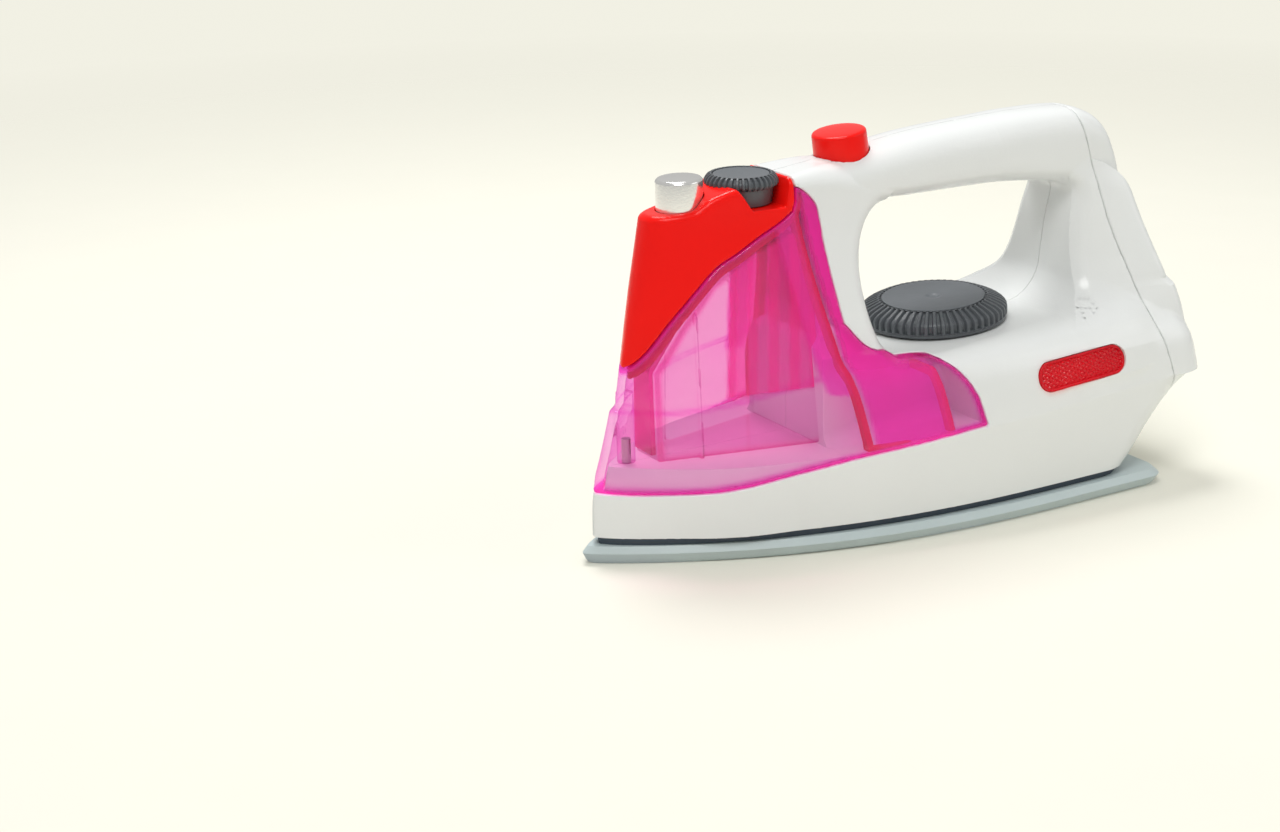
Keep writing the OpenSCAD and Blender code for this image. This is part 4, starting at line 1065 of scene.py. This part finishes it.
def cowl_field(x, y, z):
    form, seams = form_and_seams()
    s = sizes()
    notch = seams.notch(x, z)
    outer = form(x, y, z)
    solid = round_cut(outer, seams.cowl(x, z) + s.seam, SEAM_R)
    solid = round_cut(solid, -notch, 0.6 * MM)
    inner = cut(outer + s.wall, s.wall - notch)
    button = cut(np.hypot(x - SPRAY_X, y) - 7.05 * MM, 84 * MM - z)
    stem = cut(np.hypot(x - STEAM_X, y) - 4.6 * MM, 90 * MM - z)
    return cut(solid, -inner, -join(button, stem))


# The soleplate's edge in mm: height, and how far it is drawn in
SOLE_EDGE = ((0, 2.4), (0.5, 1.5), (1.2, 1.0), (3.3, 0.0), (5.2, 1.7))
SOLE_TAPER = 150 * MM
# The speaker's holes: place of the middle, pitch of the rings, radius of a hole
SOLE_SPEAKER = (-45 * MM, 4.5 * MM, 1.0 * MM)


def sole_plan(x, y, inset):
    """Distance to the plan of the soleplate, drawn in by an inset."""
    form, _ = form_and_seams()
    nose, half = SOLE_LOW[0] - 1.85 * MM + inset, SOLE_HIGH[1] - inset
    side = form.pointed(x, form.beside(y), nose, half, SOLE_TAPER, 1)
    return round_cut(side, x - SOLE_HIGH[0] + inset, 6 * MM)


def speaker_holes(x, y):
    """A hole in the middle and two rings round it."""
    middle, pitch, r = SOLE_SPEAKER
    holes = np.hypot(x - middle, y) - r
    for ring in (1, 2):
        for i in range(ring * 6):
            t = math.radians(60 * i / ring)
            hx, hy = ring * pitch * math.cos(t), ring * pitch * math.sin(t)
            holes = join(holes, np.hypot(x - middle - hx, y - hy) - r)
    return holes


def sole_field(x, y, z):
    low, high = SOLE_LOW[2], SOLE_HIGH[2]
    height, inset = np.array(SOLE_EDGE).T * MM
    plate = cut(sole_plan(x, y, np.interp(z, height + low, inset)), low - z, z - high)
    bay = box_field(x, y, z, np.array((-3.0, -14.9, -5)) * MM, np.array((53.4, 14.9, 12)) * MM)
    tab = box_field(x, y, z, np.array((50, -4.6, -5)) * MM, np.array((64.9, 4.6, 2.9)) * MM)
    screws = np.hypot(x - 60.5 * MM, y) - 1.7 * MM
    for sx in (-10.4, 60.4):
        for sy in (-11.5, 11.5):
            screws = join(screws, cut(np.hypot(x - sx * MM, y - sy * MM) - 3.1 * MM, z - 2.6 * MM))
    return cut(plate, -join(speaker_holes(x, y), bay, tab, screws))


def gasket_field(x, y, z):
    """A ring under the skirt, open at the rear, with a groove across it; its dark colour paints in the shade
    of the gap over the soleplate.
    """
    form, _ = form_and_seams()
    level = np.full_like(x, SKIRT_Z)
    outer, inner = (form.hull(x, form.beside(y), level, -inset * MM) for inset in (1.6, 5))
    ring = cut(outer, -inner, SOLE_HIGH[2] - z, z - SKIRT_Z, x - 72.9 * MM)
    return cut(ring, -(np.hypot(x - 69 * MM, z - 6.35 * MM) - 0.7 * MM))


def window_field(u, v, w):
    """A side window in its own axes: a rim round a field of small diamonds."""
    edge = stadium(u, v)
    a = np.abs((u / (2.2 * MM) + v / (1.5 * MM)) % 1 - 0.5)
    b = np.abs((u / (2.2 * MM) - v / (1.5 * MM)) % 1 - 0.5)
    top = np.where(edge > -0.8 * MM, 0.35 * MM, (-0.35 + 1.1 * np.minimum(a, b)) * MM)
    return cut(edge, w - top, -w - 3.4 * MM)


class IronShells(Operator):
    """Make the two body halves and the rear cover"""
    bl_idname = "iron.shells"
    bl_label = "Body and rear cover"

    def execute(self, context):
        for name, side, low, high in (("left", -1, -45, 0.5), ("right", 1, -0.5, 45)):
            add_shell(f"body_{name}_shell", body_field(side), (-99, low, 6), (94, high, 117), "white_body",
                      f"body_{name}", 1.0 * MM)
        add_shell("rear_cover_shell", heel_field, (68, -44, 20), (101, 44, 117), "white_body", "rear_cover")
        return {"FINISHED"}


class IronTank(Operator):
    """Make the clear tank with its bead, and the reservoir in it"""
    bl_idname = "iron.tank"
    bl_label = "Tank"

    def execute(self, context):
        add_shell("water_tank_shell", tank_field, (-99, -44, 18), (16, 44, 107), "pink_clear", "water_tank",
                  edges=tank_edges)
        add_shell("tank_bars", bead_field, (-92, -44, 27), (6, 44, 107), "pink_deep", cell=0.7 * MM)
        add_shell("reservoir_shell", reservoir_field, (-80, -20, 27), (-26, 20, 92), "pink_inner",
                  "inner_reservoir", edges=reservoir_edges)
        add_shell("reservoir_strip", strip_field, (-82, -22, 27), (-27, 22, 94), "pink_inner",
                  cell=0.7 * MM, edges=strip_edges)
        return {"FINISHED"}


class IronCowl(Operator):
    """Make the red cowl over the tank"""
    bl_idname = "iron.cowl"
    bl_label = "Cowl"

    def execute(self, context):
        add_shell("front_cowl_shell", cowl_field, (-90, -16, 53), (-30, 16, 110), "red_gloss", "front_cowl",
                  0.6 * MM)
        return {"FINISHED"}


class IronBase(Operator):
    """Make the soleplate and the dark strip above it"""
    bl_idname = "iron.base"
    bl_label = "Soleplate"

    def execute(self, context):
        add_shell("soleplate_plate", sole_field, (-101, -45, -0.5), (83, 45, 6), "grey_sole", "soleplate",
                  0.75 * MM)
        add_shell("gasket_strip", gasket_field, (-98, -43, 4.5), (74, 43, 8.5), "dark_strip", "sole_gasket")
        return {"FINISHED"}


class IronDials(Operator):
    """Make the temperature dial, the steam dial and their discs"""
    bl_idname = "iron.dials"
    bl_label = "Dials"

    def execute(self, context):
        s = sizes()
        # Profiles in mm from the middle of the underside to the middle of the top: radius, height, own corner
        r = s.dial_r / MM
        knob = [(0, -26), (4, -26), (4, 0.6), (r - 0.4, 0.6), (r - 0.4, 1.6), (r, 1.9), (r, 4.5, 0.9),
                (r - 1.4, 5.7, 0.8), (19.5, 6.6), (17.4, 7.5), (16.8, 7.5), (16.7, 6.6), (0, 6.6)]
        face = [(0, 6.95), (16, 6.95), (16, 7.65), (9, 7.6, 3), (2.6, 7.5, 1), (1.4, 7.0, 0.8), (0, 6.97)]
        self.dial("temperature_dial", "dial", 3, (IronForm.DIAL_X, 0, 52.91 * MM), knob, 0.25,
                  s.dial_ribs, (1.85, (17.1, 17.8, 21.4, 22.8), (0, 2.0, 2.0, 1.1)), face, 0.3, 144)
        r = s.steam_r / MM
        knob = [(0, -5.5), (4, -5.5), (4, 0.3), (8.7, 0.3), (9.3, 5.1), (r - 0.5, 5.6), (r, 6.2, 0.5),
                (r - 0.1, 7.4, 0.8), (9.9, 8.5), (9.1, 9), (8.5, 9), (8.4, 8), (0, 8)]
        face = [(0, 8.15), (8.2, 8.15), (8.2, 8.8), (5, 8.5, 1.5), (0, 8.3)]
        self.dial("steam_dial", "small_dial", 0, (STEAM_X, 0, POCKET_Z), knob, 0.2,
                  s.steam_ribs, (5.4, (8.9, 9.3, 10.2, 10.85), (0, 1.0, 1.2, 0.7)), face, 0.25, 96)
        return {"FINISHED"}

    def dial(self, node, body, tilt, centre, knob, knob_r, count, depths, face, face_r, sides):
        """A ribbed knob and the disc on it."""
        points, faces = lathe(soften(knob, knob_r), count * 12, ribs(count, *depths))
        add_mesh(f"{node}_knob", placed(points, tilt, centre), faces, "grey_dial", body, node)
        points, faces = lathe(soften(face, face_r), sides)
        add_mesh(f"{node}_face", placed(points, tilt, centre), faces, "grey_disc", body, f"{node}_disc")


class IronButtons(Operator):
    """Make the silver spray button, the red handle button and their springs"""
    bl_idname = "iron.buttons"
    bl_label = "Buttons and springs"

    # Profiles in mm from the rim inside to the middle of the top: radius, height, own corner
    SPRAY = [(5.6, 106.6), (5.6, 90.5), (6.8, 90.5), (6.8, 107.9), (6.2, 108.6), (0, 108.8)]
    HANDLE = [(7.1, 3.6), (7.1, -6.3), (8.3, -6.3), (8.3, 0), (8.15, 6, 1), (4, 6.25, 2), (0, 6.3)]
    SPRAY_CENTRE = (SPRAY_X, 0, 0)
    # The springs under the buttons: radius, foot and top in mm, share kept when pressed, tilt, centre
    SPRINGS = (("spray", "spray_press", 4.233, 96.8, 106.5, 0.585, 0, SPRAY_CENTRE),
               ("handle_button", "handle_press", 5.64, -9.85, 3.36, 0.81, PRESS_TILT, PRESS))

    def execute(self, context):
        points, faces = lathe([(0, 106.6)] + soften(self.SPRAY, 0.2), 96)
        # The top of the spray button rises a little to the rear
        raised = points[:, 2] > 107
        points[raised, 2] += points[raised, 0] * 0.03
        add_mesh("spray_button_cap", placed(points, 0, self.SPRAY_CENTRE), faces, "silver_button",
                 "spray_cap", "spray_button")
        points, faces = lathe([(0, 3.6)] + soften(self.HANDLE, 0.25), 96)
        add_mesh("handle_button_cap", placed(points, PRESS_TILT, PRESS), faces, "red_gloss", "handle_cap",
                 "handle_button")
        for name, joint, r, low, high, keep, tilt, centre in self.SPRINGS:
            points, faces = coil(r, 0.4, low, high)
            piece = add_mesh(f"{name}_spring_coil", placed(points, tilt, centre), faces, "spring_steel",
                             "iron", f"{name}_spring")
            foot, top = placed(np.array([(0, 0, low), (0, 0, high)]), tilt, centre)
            axis = (top - foot) / np.linalg.norm(top - foot)
            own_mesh(piece)
        return {"FINISHED"}


class IronWindows(Operator):
    """Make the two side windows"""
    bl_idname = "iron.windows"
    bl_label = "Windows"

    def execute(self, context):
        for side, node in ((-1, "window_left"), (1, "window_right")):
            u, v, out, centre = window_frame(side)
            turn = np.column_stack([u * (side * -1.0), v, out])
            add_shell(f"{node}_lens", window_field, (-17, -5, -4), (17, 5, 1), "red_clear", node, 0.3 * MM,
                      place=(turn, centre))
        return {"FINISHED"}


class IronInside(Operator):
    """Give the parts that stay from the frame their finishes"""
    bl_idname = "iron.inside"
    bl_label = "Inner parts"
    FINISHES = {
        "inner_plastic": ("spray_guide", "steam_dial_bush", "handle_button_guide", "inner_frame",
                          "battery_box"),
        "black_plastic": ("handle_switch", "board_chips", "speaker_basket"),
        "spring_steel": ("detent_spring", "battery_contacts"),
        "screw_steel": ("steam_dial_screw", "dial_retainer", "dial_screw", "speaker_magnet",
                        "battery_door_screw", "sole_screws", "body_screws", "tank_screw"),
        "green_board": ("circuit_board",),
        "red_clear": ("lamps",),
        "cell_jacket": ("battery_cells",),
        "grey_sole": ("battery_door",),
    }

    def execute(self, context):
        for finish, nodes in self.FINISHES.items():
            material = finish_named(finish)
            for node in nodes:
                piece = bpy.data.objects[node] if node in bpy.data.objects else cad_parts[node]
                piece.data.materials.clear()
                piece.data.materials.append(material)
        return {"FINISHED"}


class IronStage(Operator):
    """Make the floor, the world, the lamps and the camera"""
    bl_idname = "iron.stage"
    bl_label = "Stage"
    # Lamps: place, size, power
    LAMPS = {"key_lamp": ((-0.45, -0.55, 1.2), 0.6, 6.6), "fill_lamp": ((0.75, -0.55, 0.6), 0.7, 1.2),
             "top_lamp": ((0.05, 0.45, 1.05), 0.5, 7.2)}
    LAMP_AIM = (0, 0, 0.05)
    # The viewpoint of the photograph
    CAMERA_PLACE = (-0.384466, -0.559256, 0.247761)
    CAMERA_AIM = (0.007129, 0, 0.051993)
    CAMERA = {"sensor_width": 36, "lens": 65.39, "shift_x": -0.1953, "shift_y": -0.0672, "clip_start": 0.01}
    FLOOR_RINGS = (0.0, 0.15, 0.3, 0.45, 0.6, 0.8, 1.0)
    # Outline under the soleplate: half width, how it narrows to the nose, rear end
    PRINT_HALF = 0.043
    PRINT_TAPER = 0.35
    PRINT_REAR = 0.082

    def execute(self, context):
        scene = context.scene
        self.floor(scene)
        self.world(scene)
        for name, (place, size, power) in self.LAMPS.items():
            light = bpy.data.lights.new(name, "AREA")
            light.shape = "DISK"
            light.size = size
            light.energy = power
            self.aimed(scene, name, light, place, self.LAMP_AIM)
        camera = bpy.data.cameras.new("camera")
        for key, value in self.CAMERA.items():
            setattr(camera, key, value)
        scene.camera = self.aimed(scene, "camera", camera, self.CAMERA_PLACE, self.CAMERA_AIM)
        scene.view_settings.view_transform = "Standard"
        return {"FINISHED"}

    def aimed(self, scene, name, data, place, target):
        """An object for a lamp or the camera, aimed at a point."""
        holder = bpy.data.objects.new(name, data)
        holder.location = place
        aim = Vector(target) - holder.location
        holder.rotation_euler = aim.to_track_quat("-Z", "Y").to_euler()
        scene.collection.objects.link(holder)
        return holder

    def floor(self, scene):
        """A matt disc that fades out round its edge and can't be seen from below."""
        paint = Paint(bpy.data.materials.new("iron_floor"))
        back = colours().background
        far = paint.node("VectorMath", {0: paint.place()}, "Value", operation="LENGTH")
        fade = ((far - 0.45) / 0.5).clamped()
        ground = paint.mix(paint.noise(30.0, 3.0), shade(back, 0.93), shade(back, 0.95))
        matt = paint.node("BsdfDiffuse", {"Color": ground})
        glow = paint.node("Emission", {"Color": (*back, 1), "Strength": 1.0})
        lit = paint.blend(paint.ray("Camera") * 0.08, matt, glow)
        under = paint.node("NewGeometry", out="Backfacing")
        # Right under the soleplate the floor lets light through, so that its underside is lit from below
        x, y = (paint.node("SeparateXYZ", {0: paint.place()}, axis) for axis in "XY")
        ahead = (0 - x).larger(0.0)
        beside = ((self.PRINT_HALF - abs(y) - ahead * self.PRINT_TAPER) * 1000).clamped()
        covered = beside * ((self.PRINT_REAR - x) * 1000).clamped()
        hidden = (fade + under + covered * paint.ray("Diffuse")).clamped()
        points, faces = lathe([(r, 0.0) for r in self.FLOOR_RINGS], 64)
        mesh = bpy.data.meshes.new("floor")
        height = SOLE_LOW[2] - 0.05 * MM
        mesh.from_pydata([(x, y, height) for x, y, _ in points], [], [f[::-1] for f in faces])
        mesh.materials.append(paint.finish(paint.blend(hidden, lit, paint.node("BsdfTransparent"))))
        floor = bpy.data.objects.new("floor", mesh)
        scene.collection.objects.link(floor)

    def world(self, scene):
        """Soft light all round; the camera sees the background's colour, also through clear parts."""
        scene.world = bpy.data.worlds.new("world")
        paint = Paint(scene.world)
        light = paint.node("Background", {"Color": (1, 0.99, 0.975, 1), "Strength": 0.46})
        seen = paint.node("Background", {"Color": (*colours().background, 1)})
        shown = paint.ray("Camera").larger(paint.ray("Transmission"))
        paint.finish(paint.blend(shown, light, seen), "World")


class IronPanel(Panel):
    """Panel that lists the steps"""
    bl_idname = "VIEW3D_PT_iron"
    bl_label = "Toy steam iron"
    bl_space_type = "VIEW_3D"
    bl_region_type = "UI"
    bl_category = "Iron"

    def draw(self, context):
        column = self.layout.column()
        for step in STEPS:
            column.operator(step.bl_idname)


STEPS = (IronStage, IronShells, IronTank, IronCowl, IronBase, IronDials, IronButtons, IronWindows, IronInside)
CLASSES = (IronSizes, IronColours, *STEPS, IronPanel)


def register():
    for cls in CLASSES:
        bpy.utils.register_class(cls)
    bpy.types.Scene.iron_sizes = PointerProperty(type=IronSizes)
    bpy.types.Scene.iron_colours = PointerProperty(type=IronColours)


def unregister():
    del bpy.types.Scene.iron_colours
    del bpy.types.Scene.iron_sizes
    for cls in reversed(CLASSES):
        bpy.utils.unregister_class(cls)


def main():
    register()
    for step in STEPS:
        group, call = step.bl_idname.split(".")
        result = getattr(getattr(bpy.ops, group), call)()
        if result != {"FINISHED"}:
            raise RuntimeError(f"{step.bl_idname} didn't finish")


if __name__ == "__main__":
    main()
